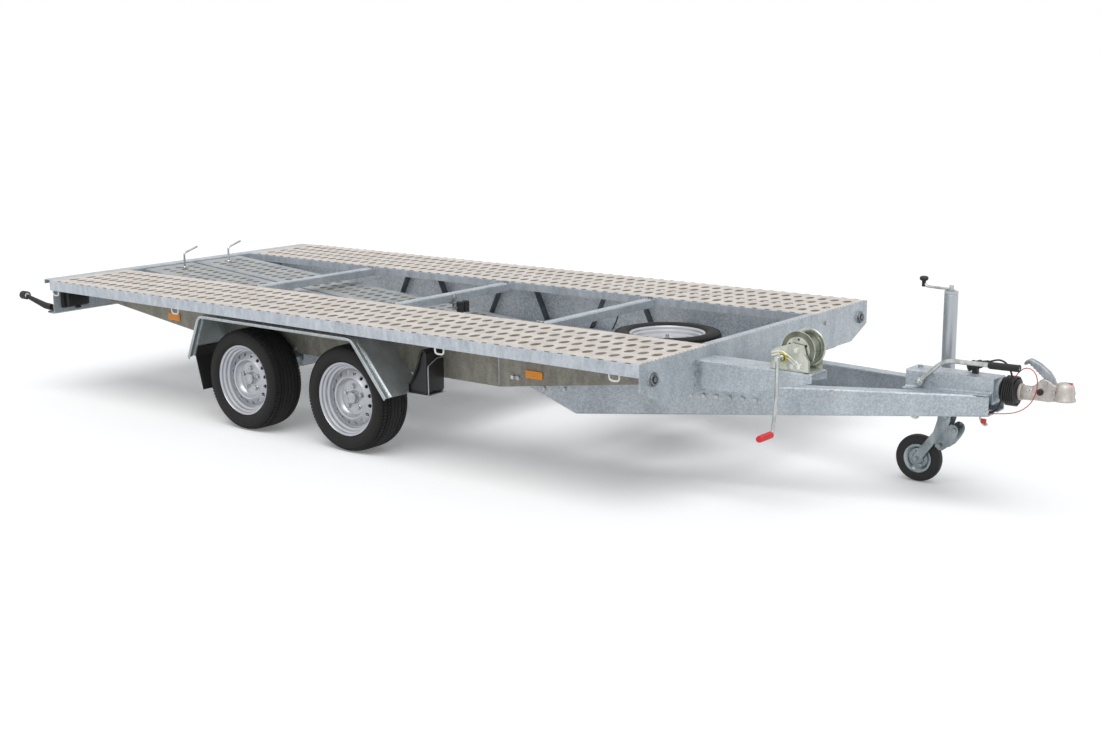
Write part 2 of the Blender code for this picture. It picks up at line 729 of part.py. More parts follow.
def ramp(name, side):
    """Loading ramp: a perforated tray with deep lips, stowed on a slope and held down by a
    threaded rod with a bent handle."""
    near = RAMP_GAP / 2
    far = near + RAMP_WIDTH
    rows = []
    for x in (RAMP_REAR, RAMP_FRONT):
        chain = [(x, near * side, ramp_bottom(x)), (x, near * side, ramp_top(x)),
                 (x, far * side, ramp_top(x)), (x, far * side, ramp_bottom(x))]
        rows.append(rounded(chain, BEND))
    if side > 0:
        rows.reverse()
    x = RAMP_LOCK_X
    y = RAMP_LOCK_Y * side
    base = ramp_top(x) - TREAD_SHEET
    foot = rod((x, y, base), (x, y, base + 0.014), 0.016, steps=12)
    handle = tube([(x, y, base), (x, y, 0.730), (x, y + 0.010, 0.740), (x, y + 0.100, 0.765)],
                  0.006)
    return finish(name, fuse(sheet(rows, TREAD_SHEET), foot, handle), "tread")


def ramp_rest():
    """Flat bar between the side members that the ramps' front ends lie on."""
    end = SIDE_FACE - PLATE - FIT
    return finish("ramp_rest", box((RAMP_REST_X - RAMP_REST_HALF, -end, RAMP_REST_LOW),
                                   (RAMP_REST_X + RAMP_REST_HALF, end,
                                    RAMP_REST_LOW + RAMP_REST_THICK)), "galvanised")


def rubber_buffers():
    """Pair of rubber rollers under the middle cross member, between the ramps."""
    x = CROSS_MEMBER_X[1] + CROSS_WIDTH / 2 + 0.062
    top = DECK_HEIGHT - CROSS_DROP - CROSS_DEPTH
    pair = [rod((x, side * 0.022, top - 0.060), (x, side * 0.022, top), 0.020, steps=14)
            for _, side in SIDES]
    pin = rod((x, -0.030, top - 0.030), (x, 0.030, top - 0.030), 0.008, steps=10)
    arm = box((CROSS_MEMBER_X[1] + CROSS_WIDTH / 2 + FIT, -0.012, top - 0.010),
              (x, 0.012, top + 0.010))
    return finish("rubber_buffers", fuse(pair[0], pin, pair[1], arm), "rubber")


# Winch

def winch_stand():
    """Cantilever channel bolted to the front plate, tapered towards its open front end."""
    rear = DECK_LENGTH + PLATE + FIT
    rows = []
    for ahead, depth in ((0, 0.124), (0.170, 0.120), (0.290, 0.102), (0.410, 0.070), (1, 0.038)):
        x = min(rear + ahead, STAND_FRONT)
        low = STAND_TOP - depth
        chain = [(x, STAND_OUTER, low), (x, STAND_OUTER, STAND_TOP), (x, STAND_INNER, STAND_TOP),
                 (x, STAND_INNER, low)]
        rows.append(rounded(chain, BEND))
    rows.reverse()
    body = sheet(rows, PLATE)
    flange = box((rear, STAND_OUTER - 0.036, STAND_TOP - 0.126),
                 (rear + PLATE, STAND_INNER + 0.036, STAND_TOP))
    return finish("winch_stand", fuse(body, flange), "galvanised")


WINCH_NEAR = STAND_OUTER + 0.013
WINCH_FAR = STAND_INNER - 0.008


def winch_frame():
    """Base and two cheeks that hold the drum shaft and the crank's bearing."""
    base_low = STAND_TOP + FIT
    back = CRANK_X - 0.060
    front = STAND_FRONT - 0.015
    cheek = [(back, base_low), (front, base_low), (front, STAND_TOP + 0.050),
             (DRUM_X + 0.027, DRUM_Z + 0.024), (DRUM_X - 0.018, DRUM_Z + 0.030),
             (CRANK_X - 0.035, DRUM_Z), (back, STAND_TOP + 0.060)]
    base = box((back, WINCH_NEAR, base_low), (front, WINCH_FAR, base_low + PLATE))
    near = plate(cheek, "XZ", WINCH_NEAR, WINCH_NEAR + PLATE)
    far = plate(cheek, "XZ", WINCH_FAR - PLATE, WINCH_FAR)
    shaft = rod((DRUM_X, WINCH_NEAR - 0.008, DRUM_Z), (DRUM_X, WINCH_FAR + 0.008, DRUM_Z), 0.008)
    bearing = rod((CRANK_X, WINCH_NEAR - 0.014, CRANK_Z), (CRANK_X, WINCH_NEAR + 0.002, CRANK_Z),
                  0.016)
    return finish("winch_frame", fuse(base, near, far, shaft, bearing), "zinc")


def winch_drum():
    """Drum with two flange discs, turning on its shaft."""
    low = WINCH_NEAR + PLATE + 0.001
    high = WINCH_FAR - PLATE - 0.001
    middle = (low + high) / 2
    half = (high - low) / 2
    bore = 0.008 + 2 * FIT
    profile = [(bore, half), (0.015, half), (0.015, half - 0.005), (DRUM_FLANGE, half - 0.005),
               (DRUM_FLANGE, half - 0.008), (0.030, half - 0.008)]
    profile += [(radius, -height) for radius, height in reversed(profile)]
    drum = turned(profile, 18, "Y", (DRUM_X, middle, DRUM_Z), closed=True)
    return finish("winch_drum", drum, "zinc", smooth=True)


def winch_crank():
    """Crank with its grip; its origin is on the crank's axis."""
    face = WINCH_NEAR - 0.014 - 2 * FIT
    knee = face - 0.030
    hand = knee - 0.050
    line = rounded([(CRANK_X, face, CRANK_Z), (CRANK_X, knee, CRANK_Z),
                    (CRANK_X + 0.012, hand, CRANK_Z - CRANK_DROP),
                    (CRANK_X + 0.012, hand - 0.115, CRANK_Z - CRANK_DROP)], 0.012)
    arm = tube(line, 0.0075)
    grip = rod((CRANK_X + 0.012, hand - 0.015, CRANK_Z - CRANK_DROP),
               (CRANK_X + 0.012, hand - 0.110, CRANK_Z - CRANK_DROP), 0.014, steps=14)
    crank = fuse(arm, grip)
    at = Vector((CRANK_X, face, CRANK_Z))
    crank.data.transform(Matrix.Translation(-at))
    crank.location = at
    return finish("winch_crank", crank, "zinc", smooth=True)


# Overrun coupling

def overrun_housing():
    """Hat-section housing on the two beams, closed in front by the plate with the nose ring."""
    rows = []
    for x in (HOUSING_REAR, BEAM_FRONT + 0.0015):
        foot = beam_top(x) + PLATE + FIT
        chain = [(x, 0.100, foot), (x, HOUSING_HALF, foot), (x, HOUSING_HALF, HOUSING_TOP),
                 (x, -HOUSING_HALF, HOUSING_TOP), (x, -HOUSING_HALF, foot), (x, -0.100, foot)]
        rows.append(rounded(chain, BEND))
    body = sheet(rows, PLATE)
    front = BEAM_FRONT + 0.001
    face = box((front, -HOUSING_HALF, BEAM_NOSE_BOTTOM + 0.047),
               (front + 0.006, HOUSING_HALF, HOUSING_TOP))
    nose = rod((front + 0.003, 0, COUPLING_Z), (front + 0.020, 0, COUPLING_Z), 0.042, steps=24)
    back = box((HOUSING_REAR, -HOUSING_HALF + 0.001, beam_top(HOUSING_REAR) + 0.002),
               (HOUSING_REAR + PLATE, HOUSING_HALF - 0.001, HOUSING_TOP - 0.001))
    return finish("overrun_housing", fuse(body, face, nose, back), "galvanised")


NOSE_FRONT = BEAM_FRONT + 0.021
SHAFT_FRONT = NOSE_FRONT + 0.085


def coupling_shaft():
    return finish("coupling_shaft", rod((NOSE_FRONT + FIT, 0, COUPLING_Z),
                                        (SHAFT_FRONT, 0, COUPLING_Z), SHAFT_RADIUS, COIL_STEPS),
                  "zinc", smooth=True)


def bellows():
    """Rubber boot with four folds round the coupling shaft; the cable's coil sits on them."""
    start = NOSE_FRONT + FIT
    folds = 4
    pitch = 0.074 / folds
    bore = SHAFT_RADIUS + FIT
    outer = []
    for number in range(folds):
        crest = COIL_RADIUS - CABLE / 2 - FIT - max(0, number - 2) * 0.004
        outer += [(crest - 0.012, start + number * pitch),
                  (crest, start + (number + 0.5) * pitch)]
    outer.append((0.036, start + folds * pitch))
    profile = [(bore, start + folds * pitch)] + outer[::-1] + [(bore, start)]
    boot = turned([(radius, along - start) for radius, along in profile], COIL_STEPS, "X",
                  (start, 0, COUPLING_Z), closed=True)
    return finish("bellows", boot, "rubber", smooth=True)


LATCH_SEAT = COUPLING_Z + 0.040
LATCH_HALF = 0.015


def coupling_head():
    """Cast ball coupling: a round neck, a flat-sided body with its pivot knob and a slot for
    the latch, and the cup with an open socket below."""
    rear = SHAFT_FRONT + FIT
    ball_x = COUPLING_NOSE - 0.045
    middle = COUPLING_Z
    outline = [(-0.145, -0.019), (-0.118, 0.041), (-0.092, 0.068), (-0.078, 0.072),
               (-0.058, 0.066), (-0.034, 0.050), (0.000, 0.052), (0.000, -0.014),
               (-0.060, -0.026), (-0.100, -0.022)]
    neck = rod((rear, 0, middle), (ball_x - 0.080, 0, middle), 0.030, steps=14)
    body = plate([(ball_x + u, middle + v) for u, v in outline], "XZ", -0.026, 0.026)
    cup = turned([(0, 0.061), (0.022, 0.061), (0.034, 0.054), (0.040, 0.030), (0.040, -0.002),
                  (0.045, -0.006), (0.045, -0.014), (0, -0.014)], 18, "Z", (ball_x, 0, middle))
    knob = rod((ball_x - 0.104, -0.020, middle + 0.016), (ball_x - 0.104, -0.036, middle + 0.016),
               0.013, steps=12)
    floor = middle - 0.014
    socket = turned([(0, 0.050), (0.018, 0.045), (BALL_RADIUS, 0.026), (BALL_RADIUS, -0.030),
                     (0, -0.030)], 14, "Z", (ball_x, 0, floor))
    slot = box((ball_x - 0.098, -LATCH_HALF - FIT, LATCH_SEAT),
               (ball_x - 0.033, LATCH_HALF + FIT, middle + 0.090))
    return finish("coupling_head", cut(fuse(neck, body, cup, knob), socket, slot), "cast",
                  smooth=True)


def coupling_handle():
    """Curved latch handle that rises to the rear from behind the cup."""
    foot = LATCH_SEAT + FIT
    hinge = COUPLING_NOSE - 0.080
    outline = [(0.001, 0.000), (-0.009, 0.031), (-0.029, 0.057), (-0.065, 0.084),
               (-0.095, 0.099), (-0.112, 0.104), (-0.129, 0.093), (-0.135, 0.079),
               (-0.125, 0.076), (-0.112, 0.084), (-0.073, 0.052), (-0.043, 0.026),
               (-0.031, 0.000)]
    shape = [(hinge + u, foot + v) for u, v in outline]
    return finish("coupling_handle", plate(shape, "XZ", -LATCH_HALF, LATCH_HALF), "zinc")


def handbrake_lever():
    """Bent lever pivoted on the right wall of the overrun housing."""
    x = HOUSING_REAR + 0.070
    z = COUPLING_Z + 0.006
    wall = -HOUSING_HALF - FIT
    y = wall - 0.020
    top = z + 0.108
    boss = rod((x, wall, z), (x, y - 0.008, z), 0.018, steps=12)
    line = rounded([(x, y, z), (x + 0.110, y, top), (x + 0.425, y, top - 0.002)], 0.040, steps=4)
    lever = tube(line, 0.010)
    grip = rod((x + 0.305, y, top - 0.001), (x + 0.435, y, top - 0.002), 0.016, steps=12)
    return finish("handbrake_lever", fuse(lever, boss, grip), "zinc", smooth=True)


# Cables

COIL_START = NOSE_FRONT + 0.022


def cable_coil():
    """Turns of the electric cable wound round the bellows, as one closed ring."""
    rear = COIL_START - CABLE / 2
    width = COIL_TURNS * COIL_PITCH - CABLE / 2 - FIT
    low = COIL_RADIUS - CABLE / 2
    high = COIL_RADIUS + CABLE / 2
    ring = turned([(low, 0), (high, 0), (high, width), (low, width)], COIL_STEPS, "X",
                  (rear, 0, COUPLING_Z), closed=True)
    return finish("cable_coil", ring, "black", smooth=True)


def electric_cable():
    """Free end of the electric cable, from the coil up to its parked plug."""
    x = COIL_START + COIL_TURNS * COIL_PITCH
    z = COUPLING_Z
    route = [(x, -COIL_RADIUS, z), (x, -COIL_RADIUS, z + 0.020), (x - 0.001, -0.0595, z + 0.040),
             (x - 0.004, -0.0565, z + 0.060), (x - 0.010, -0.0515, z + 0.080),
             (x - 0.020, -0.044, z + 0.098), (x - 0.034, -0.034, z + 0.111),
             (x - 0.051, -0.022, z + 0.119), (x - 0.070, -0.009, z + 0.122),
             (x - 0.089, 0.004, z + 0.1205), (x - 0.107, 0.014, z + 0.1155),
             (x - 0.1247, 0.0195, z + 0.1090), (x - 0.1371, 0.020, z + 0.1044)]
    return finish("electric_cable", tube(route, CABLE / 2), "black", smooth=True)


def electric_plug():
    """Seven-pole plug parked on a foot that stands on the overrun housing."""
    tail = Vector((COIL_START + COIL_TURNS * COIL_PITCH - 0.1377, 0.020, COUPLING_Z + 0.1041))
    along = Vector((-0.94, 0, -0.34)).normalized()
    sleeve = rod(tail, tail + along * 0.030, 0.008, steps=12, end_radius=0.012)
    shell = rod(tail + along * 0.028, tail + along * 0.092, 0.018, steps=16)
    collar = rod(tail + along * 0.060, tail + along * 0.072, 0.023, steps=16)
    foot_x = tail.x - 0.055
    foot = box((foot_x - 0.012, 0.008, HOUSING_TOP + FIT), (foot_x + 0.012, 0.032,
                                                           tail.z - 0.030))
    return finish("electric_plug", fuse(shell, sleeve, collar, foot), "black", smooth=True)


def breakaway_cable():
    """Red cable from the brake linkage in the right beam, round the neck to the coil."""
    z = COUPLING_Z
    route = []
    for x in (BEAM_FRONT - 0.040, BEAM_FRONT - 0.028, BEAM_FRONT - 0.016):
        inside = beam_y(x) - BEAM_SHEET - BREAKAWAY / 2 - FIT
        route.append((x, -inside, z - 0.091))
    bow = [(-0.003, -0.0785, -0.0908), (0.012, -0.0755, -0.0900), (0.030, -0.0730, -0.0880),
           (0.048, -0.0720, -0.0858), (0.066, -0.0715, -0.0832), (0.085, -0.0715, -0.0795),
           (0.104, -0.0715, -0.0740), (0.122, -0.0715, -0.0660), (0.140, -0.0715, -0.0550),
           (0.156, -0.0715, -0.0410), (0.170, -0.0710, -0.0240), (0.180, -0.0705, -0.0050),
           (0.187, -0.0700, 0.0150), (0.191, -0.0695, 0.0350), (0.192, -0.0690, 0.0550),
           (0.190, -0.0680, 0.0740), (0.184, -0.0660, 0.0910), (0.173, -0.0635, 0.1050),
           (0.158, -0.0605, 0.1130), (0.141, -0.0570, 0.1140), (0.125, -0.0530, 0.1080),
           (0.111, -0.0480, 0.0970), (0.099, -0.0420, 0.0830), (0.088, -0.0340, 0.0695),
           (0.074, -0.0255, 0.0612)]
    route += [(BEAM_FRONT + u, v, z + w) for u, v, w in bow]
    return finish("breakaway_cable", tube(route, BREAKAWAY / 2, resolution=1), "red", smooth=True)


# Jockey wheel

FORK_TOP = JOCKEY_WHEEL + 0.2325


JOCKEY_Y = beam_y(JOCKEY_X) + 0.0633
JOCKEY_BOTTOM = beam_bottom(JOCKEY_X) + 0.008
JOCKEY_TOP = JOCKEY_BOTTOM + JOCKEY_DROP


def jockey_clamp():
    """Clamp block from the left beam's outer face to a ring round the jockey tube."""
    half = 0.030
    rear = JOCKEY_X - half
    front = JOCKEY_X + half
    low = JOCKEY_BOTTOM + 0.025
    high = low + 0.060
    block = plate([(rear, beam_y(rear) + FIT), (front, beam_y(front) + FIT), (front, JOCKEY_Y),
                   (rear, JOCKEY_Y)], "XY", low, high)
    ring = rod((JOCKEY_X, JOCKEY_Y, low), (JOCKEY_X, JOCKEY_Y, high), JOCKEY_TUBE + 0.008, steps=24)
    bore = rod((JOCKEY_X, JOCKEY_Y, low - 0.01), (JOCKEY_X, JOCKEY_Y, high + 0.01),
               JOCKEY_TUBE + FIT, steps=24)
    return finish("jockey_clamp", cut(fuse(block, ring), bore), "zinc")


def jockey_outer_tube():
    inside = JOCKEY_TUBE - JOCKEY_WALL
    profile = [(0, JOCKEY_TOP), (JOCKEY_TUBE, JOCKEY_TOP), (JOCKEY_TUBE, JOCKEY_BOTTOM),
               (inside, JOCKEY_BOTTOM), (inside, JOCKEY_TOP - 0.006), (0, JOCKEY_TOP - 0.006)]
    return finish("jockey_outer_tube", turned(profile, 24, "Z", (JOCKEY_X, JOCKEY_Y, 0)), "zinc",
                  smooth=True)


def jockey_crank():
    """Crank arm on top of the tube with a mushroom knob."""
    low = JOCKEY_TOP + FIT
    cap = rod((0, 0, 0), (0, 0, 0.012), 0.016, steps=14)
    arm = box((-0.130, -0.010, 0.004), (0.008, 0.010, 0.010))
    stem = rod((-0.125, 0, 0.006), (-0.125, 0, 0.030), 0.008, steps=10)
    knob = turned([(0, 0.054), (0.012, 0.052), (0.018, 0.044), (0.017, 0.036), (0.008, 0.028),
                   (0, 0.028)], 14, "Z", (-0.125, 0, 0))
    crank = fuse(cap, arm, stem, knob)
    crank.location = (JOCKEY_X, JOCKEY_Y, low)
    return finish("jockey_crank", crank, "zinc")


def jockey_inner_tube():
    inner = rod((0, 0, 0), (0, 0, 0.300), JOCKEY_TUBE - JOCKEY_WALL - JOCKEY_PLAY, steps=24)
    inner.location = (JOCKEY_X, JOCKEY_Y, FORK_TOP + FIT)
    return finish("jockey_inner_tube", inner, "zinc", smooth=True)


def jockey_fork():
    """Two cheeks that trail behind the swivel and hold the wheel's pin."""
    hub_x = -JOCKEY_TRAIL
    hub_z = JOCKEY_WHEEL
    cheek = [(-0.022, FORK_TOP), (0.034, FORK_TOP), (0.036, FORK_TOP - 0.035),
             (0.005, FORK_TOP - 0.105),
             (hub_x + 0.022, hub_z - 0.004), (hub_x + 0.010, hub_z - 0.018),
             (hub_x - 0.010, hub_z - 0.018), (hub_x - 0.020, hub_z), (hub_x - 0.012, hub_z + 0.018),
             (-0.040, FORK_TOP - 0.095), (-0.025, FORK_TOP - 0.040)]
    crown = box((-0.022, -0.036, FORK_TOP - 0.022), (0.034, 0.036, FORK_TOP))
    cheeks = [plate(cheek, "XZ", side * 0.032, side * 0.036) for _, side in SIDES]
    pin = rod((hub_x, -0.044, hub_z), (hub_x, 0.044, hub_z), 0.0060, steps=12)
    fork = fuse(crown, *cheeks, pin)
    fork.location = (JOCKEY_X, JOCKEY_Y, 0)
    return finish("jockey_fork", fork, "zinc")


def jockey_wheel():
    """Solid rubber tyre on a pressed zinc rim, turning on the fork's pin."""
    at = (JOCKEY_X - JOCKEY_TRAIL, JOCKEY_Y, JOCKEY_WHEEL)
    bore = 0.0060 + 2 * FIT
    rim_edge = 0.066
    rim = [(bore, 0.030), (0.015, 0.030), (0.016, 0.008), (0.046, 0.006), (0.056, 0.020),
           (rim_edge, 0.020)]
    rim += [(radius, -height) for radius, height in reversed(rim)]
    tyre = [(JOCKEY_WHEEL, 0.012), (JOCKEY_WHEEL - 0.006, 0.022), (0.080, 0.024),
            (rim_edge + FIT, 0.020)]
    tyre += [(radius, -height) for radius, height in reversed(tyre)]
    finish("jockey_rim", turned(rim, 16, "Y", at, closed=True), "zinc", smooth=True)
    finish("jockey_tyre", turned(tyre, 16, "Y", at, closed=True), "rubber", smooth=True)


# Lamps

def rear_lamp(name, side):
    """Lamp housing through the window of the rear cross member."""
    body = box((-0.006, side * (LAMP_INNER + FIT), LAMP_LOW + FIT),
               (0.085, side * (LAMP_OUTER - FIT), LAMP_HIGH - FIT), bevel=0.0)
    return finish(name, body, "black")


def marker_lamp(name, side):
    """Outline lamp at the end of a bent rubber arm."""
    end = OUTER - 0.018 + FIT
    seat = REAR_BOTTOM + 0.038
    foot = box((-0.010, side * end, seat - 0.016), (0.026, side * (end + 0.006), seat + 0.016))
    bend = [(0.008, side * (end + 0.003), seat), (-0.030, side * (end + 0.018), seat + 0.008),
            (MARKER_X, side * MARKER_Y, MARKER_Z)]
    arm = tube(rounded(bend, 0.020), 0.009)
    head = rod((MARKER_X - MARKER_LENGTH / 2, side * MARKER_Y, MARKER_Z),
               (MARKER_X + MARKER_LENGTH / 2, side * MARKER_Y, MARKER_Z), MARKER_RADIUS, steps=18)
    return finish(name, fuse(foot, arm, head), "black", smooth=True)


# Assembly

rear_cross_member()
front_plate()
for number, x in enumerate(CROSS_MEMBER_X, start=1):
    cross_member(f"cross_member_{number}", x)
drawbar_cross_rear()
for position, x in zip(("rear", "front"), WHEEL_X):
    axle(f"axle_{position}", x)
for name, side in SIDES:
    side_member(f"side_member_{name}", side)
    treadway(f"treadway_{name}", side)
    drawbar_beam(f"drawbar_beam_{name}", side)
    mudguard(f"mudguard_{name}", side)
    mud_flap(f"mud_flap_{name}", side)
    wheel_chock(f"wheel_chock_{name}", side)
    ramp(f"ramp_{name}", side)
    rear_lamp(f"rear_lamp_{name}", side)
    marker_lamp(f"marker_lamp_{name}", side)
    for position, x in zip(("rear", "front"), WHEEL_X):
        road_wheel(position, x, name, side)
ramp_rest()
rubber_buffers()
spare_wheel()
winch_stand()
winch_frame()
winch_drum()
winch_crank()
overrun_housing()
coupling_shaft()
bellows()
coupling_head()
coupling_handle()
handbrake_lever()
cable_coil()
electric_cable()
electric_plug()
breakaway_cable()
jockey_clamp()
jockey_outer_tube()
jockey_crank()
jockey_inner_tube()
jockey_fork()
jockey_wheel()
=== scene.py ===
"""Car hauler trailer, dressed for its photograph: galvanised frame, pierced treadways,
steel wheels, hand winch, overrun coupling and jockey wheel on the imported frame."""
import math

import bmesh
import bpy
from mathutils import Matrix, Vector


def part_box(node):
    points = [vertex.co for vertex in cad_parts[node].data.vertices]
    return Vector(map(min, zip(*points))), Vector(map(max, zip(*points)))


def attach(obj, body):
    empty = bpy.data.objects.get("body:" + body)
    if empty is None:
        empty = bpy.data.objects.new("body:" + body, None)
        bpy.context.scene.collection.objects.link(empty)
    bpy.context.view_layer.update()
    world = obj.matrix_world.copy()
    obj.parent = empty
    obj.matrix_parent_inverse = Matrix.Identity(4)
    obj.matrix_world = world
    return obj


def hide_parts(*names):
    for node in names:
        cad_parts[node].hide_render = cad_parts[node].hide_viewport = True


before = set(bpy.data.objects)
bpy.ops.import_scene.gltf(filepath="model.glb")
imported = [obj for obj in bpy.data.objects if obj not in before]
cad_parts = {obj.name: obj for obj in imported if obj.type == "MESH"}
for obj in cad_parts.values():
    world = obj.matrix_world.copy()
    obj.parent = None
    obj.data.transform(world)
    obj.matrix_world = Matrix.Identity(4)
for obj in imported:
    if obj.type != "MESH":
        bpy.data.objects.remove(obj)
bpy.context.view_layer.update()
DECK_ORIGIN = 2.66125  # metres from the deck's rear edge to the trailer's middle

# Camera
# A long lens stands to the right of the drawbar, above deck height, and looks back
# along the trailer.
YAW, PITCH, ROLL = 2.238747, 0.2038186, -0.0084632  # radians
FOCAL_PIXELS, PHOTO_WIDTH, SENSOR = 1515.577, 1100, 36.0
bpy.ops.object.camera_add(location=(4.88756, -5.95302, 1.89523))
camera = bpy.context.object
camera.name = "photo_camera"
camera.rotation_euler = (
    Matrix.Rotation(YAW - math.pi / 2, 3, "Z") @ Matrix.Rotation(math.pi / 2 - PITCH, 3, "X")
    @ Matrix.Rotation(ROLL, 3, "Z")).to_euler()
camera.data.sensor_width = SENSOR
camera.data.lens = SENSOR * FOCAL_PIXELS / PHOTO_WIDTH
camera.data.clip_end = 90
bpy.context.scene.camera = camera
bpy.context.scene.view_settings.view_transform = "Standard"

# Studio
# A white cove: one wide soft light high over the trailer's right front, and a white room.
# The floor is a matt pale paint that keeps the trailer's shadow.


def linear(code, alpha=1.0):
    """An sRGB hex colour as the linear numbers that a shader socket takes."""
    parts = [int(code[i:i + 2], 16) / 255 for i in (0, 2, 4)]
    return tuple(c / 12.92 if c < 0.04045 else ((c + 0.055) / 1.055) ** 2.4
                 for c in parts) + (alpha,)


def add_node(tree, kind, settings=None, values=None, links=None):
    """Add a node with its settings, socket values and incoming links."""
    made = tree.nodes.new(kind)
    for key, value in (settings or {}).items():
        setattr(made, key, value)
    for key, value in (values or {}).items():
        made.inputs[key].default_value = value
    for key, source in (links or {}).items():
        tree.links.new(source, made.inputs[key])
    return made


LIGHT_LEVEL, LIGHT_WIDTH, LIGHT_FALL = 1.75, math.radians(50), Vector((-0.28, 0.42, -1.0))
ROOM_LEVEL, FLOOR_LIFT = 0.5, 0.15
bpy.ops.object.light_add(type="SUN", location=(2.0, -3.0, 6.0))
key_light = bpy.context.object
key_light.name = "overhead_soft_light"
key_light.data.energy = LIGHT_LEVEL
key_light.data.angle = LIGHT_WIDTH
key_light.rotation_euler = LIGHT_FALL.to_track_quat("-Z", "Y").to_euler()

# The room: a cool white wall. What looks at it, in a picture or a reflection, sees pure white.
world = bpy.data.worlds.new("white_cove")
bpy.context.scene.world = world
world.use_nodes = True
tree = world.node_tree
tree.nodes.clear()
path = add_node(tree, "ShaderNodeLightPath")
near = add_node(tree, "ShaderNodeMath", {"operation": "MAXIMUM"}, None,
                {0: path.outputs["Is Camera Ray"], 1: path.outputs["Is Transmission Ray"]})
seen = add_node(tree, "ShaderNodeMath", {"operation": "MAXIMUM"}, None,
                {0: near.outputs[0], 1: path.outputs["Is Glossy Ray"]})
room = add_node(tree, "ShaderNodeBackground", None,
                {"Color": linear("F4F7FA"), "Strength": ROOM_LEVEL})
white = add_node(tree, "ShaderNodeBackground", None, {"Color": linear("FFFFFF"), "Strength": 1.0})
pick = add_node(tree, "ShaderNodeMixShader", None, None,
                {0: seen.outputs[0], 1: room.outputs[0], 2: white.outputs[0]})
add_node(tree, "ShaderNodeOutputWorld", None, None, {"Surface": pick.outputs[0]})

bpy.ops.mesh.primitive_plane_add(size=160, location=(0, 0, 0))
floor = bpy.context.object
floor.name = "studio_floor"
# Matt emulsion paint: no gloss at all, a little brighter to the eye than what it throws back.
paint = bpy.data.materials.new("matt_floor_paint")
paint.use_nodes = True
tree = paint.node_tree
tree.nodes.clear()
path = add_node(tree, "ShaderNodeLightPath")
seen = add_node(tree, "ShaderNodeMath", {"operation": "MAXIMUM"}, None,
                {0: path.outputs["Is Camera Ray"], 1: path.outputs["Is Glossy Ray"]})
matt = add_node(tree, "ShaderNodeBsdfDiffuse", None, {"Color": linear("F8F8F8")})
lift = add_node(tree, "ShaderNodeEmission", None,
                {"Color": linear("FFFFFF"), "Strength": FLOOR_LIFT})
shown = add_node(tree, "ShaderNodeAddShader", None, None, {0: matt.outputs[0], 1: lift.outputs[0]})
pick = add_node(tree, "ShaderNodeMixShader", None, None,
                {0: seen.outputs[0], 1: matt.outputs[0], 2: shown.outputs[0]})
add_node(tree, "ShaderNodeOutputMaterial", None, None, {"Surface": pick.outputs[0]})
floor.data.materials.append(paint)

# Galvanised frame
# Side members, axle tubes, cross members, drawbar and front plate are folded steel, dipped
# in molten zinc after welding. The zinc freezes in flat crystals of 5 to 12 mm and dulls,
# and runs down the webs in faint streaks.


def new_skin(name, values=None):
    """A new material, its node tree, its shader with these values, and the piece's place."""
    made = bpy.data.materials.new(name)
    made.use_nodes = True
    tree = made.node_tree
    shader = tree.nodes["Principled BSDF"]
    for key, value in (values or {}).items():
        shader.inputs[key].default_value = value
    return made, tree, shader, add_node(tree, "ShaderNodeTexCoord").outputs["Object"]


STREAK = 0.35  # how much the bloom's clouds are drawn out downwards
DUST_GRAIN = 1 / 260.0  # metres


def zinc_skin(name, light, dark, spangle, rough=0.46, metallic=0.45, cloud=0.12, flake=0.30,
              grit=0.12):
    """Zinc: crystal flakes of the spangle's size and slow clouds of white bloom, both in metres,
    matt patches from flake to flake, and a fine grit under them."""
    made, tree, shader, place = new_skin(name, {"Metallic": metallic})
    flakes = add_node(tree, "ShaderNodeTexVoronoi", {"feature": "F1"},
                      {"Scale": 1 / spangle, "Randomness": 1.0}, {"Vector": place})
    tone = add_node(tree, "ShaderNodeSeparateColor", None, None, {0: flakes.outputs["Color"]})
    drawn = add_node(tree, "ShaderNodeMapping", None, {"Scale": (1.0, 1.0, STREAK)},
                     {"Vector": place})
    bloom = add_node(tree, "ShaderNodeTexNoise", None,
                     {"Scale": 1 / cloud, "Detail": 6.0, "Roughness": 0.62},
                     {"Vector": drawn.outputs[0]})
    dust = add_node(tree, "ShaderNodeTexNoise", None,
                    {"Scale": 1 / DUST_GRAIN, "Detail": 2.0, "Roughness": 0.5}, {"Vector": place})
    mix = add_node(tree, "ShaderNodeMath", {"operation": "MULTIPLY_ADD"}, {1: flake},
                   {0: tone.outputs[0], 2: bloom.outputs["Fac"]})
    ramp = add_node(tree, "ShaderNodeValToRGB", None, None, {0: mix.outputs[0]})
    for stop, share, code in zip(ramp.color_ramp.elements, (0.34, 0.64 + flake), (dark, light)):
        stop.position, stop.color = share, linear(code)
    tree.links.new(ramp.outputs["Color"], shader.inputs["Base Color"])
    dull = add_node(tree, "ShaderNodeMapRange", None,
                    {"To Min": rough - 0.08, "To Max": rough + 0.12},
                    {"Value": tone.outputs[1]})
    tree.links.new(dull.outputs[0], shader.inputs["Roughness"])
    rise = add_node(tree, "ShaderNodeMath", {"operation": "MULTIPLY_ADD"}, {1: 0.35},
                    {0: tone.outputs[2], 2: dust.outputs["Fac"]})
    bump = add_node(tree, "ShaderNodeBump", None, {"Strength": grit, "Distance": 0.0006},
                    {"Height": rise.outputs[0]})
    tree.links.new(bump.outputs["Normal"], shader.inputs["Normal"])
    return made


def dress(skin, *nodes):
    """Give CAD nodes that keep their shape their finish."""
    for node in nodes:
        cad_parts[node].data.materials.clear()
        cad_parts[node].data.materials.append(skin)


# Hot-dip zinc on welded steel: pale cool grey, half matt, with clear crystals 6 mm wide.
galvanised = zinc_skin("hot_dip_galvanised_steel", "C6CDD3", "969FA6", 0.006, flake=0.42)
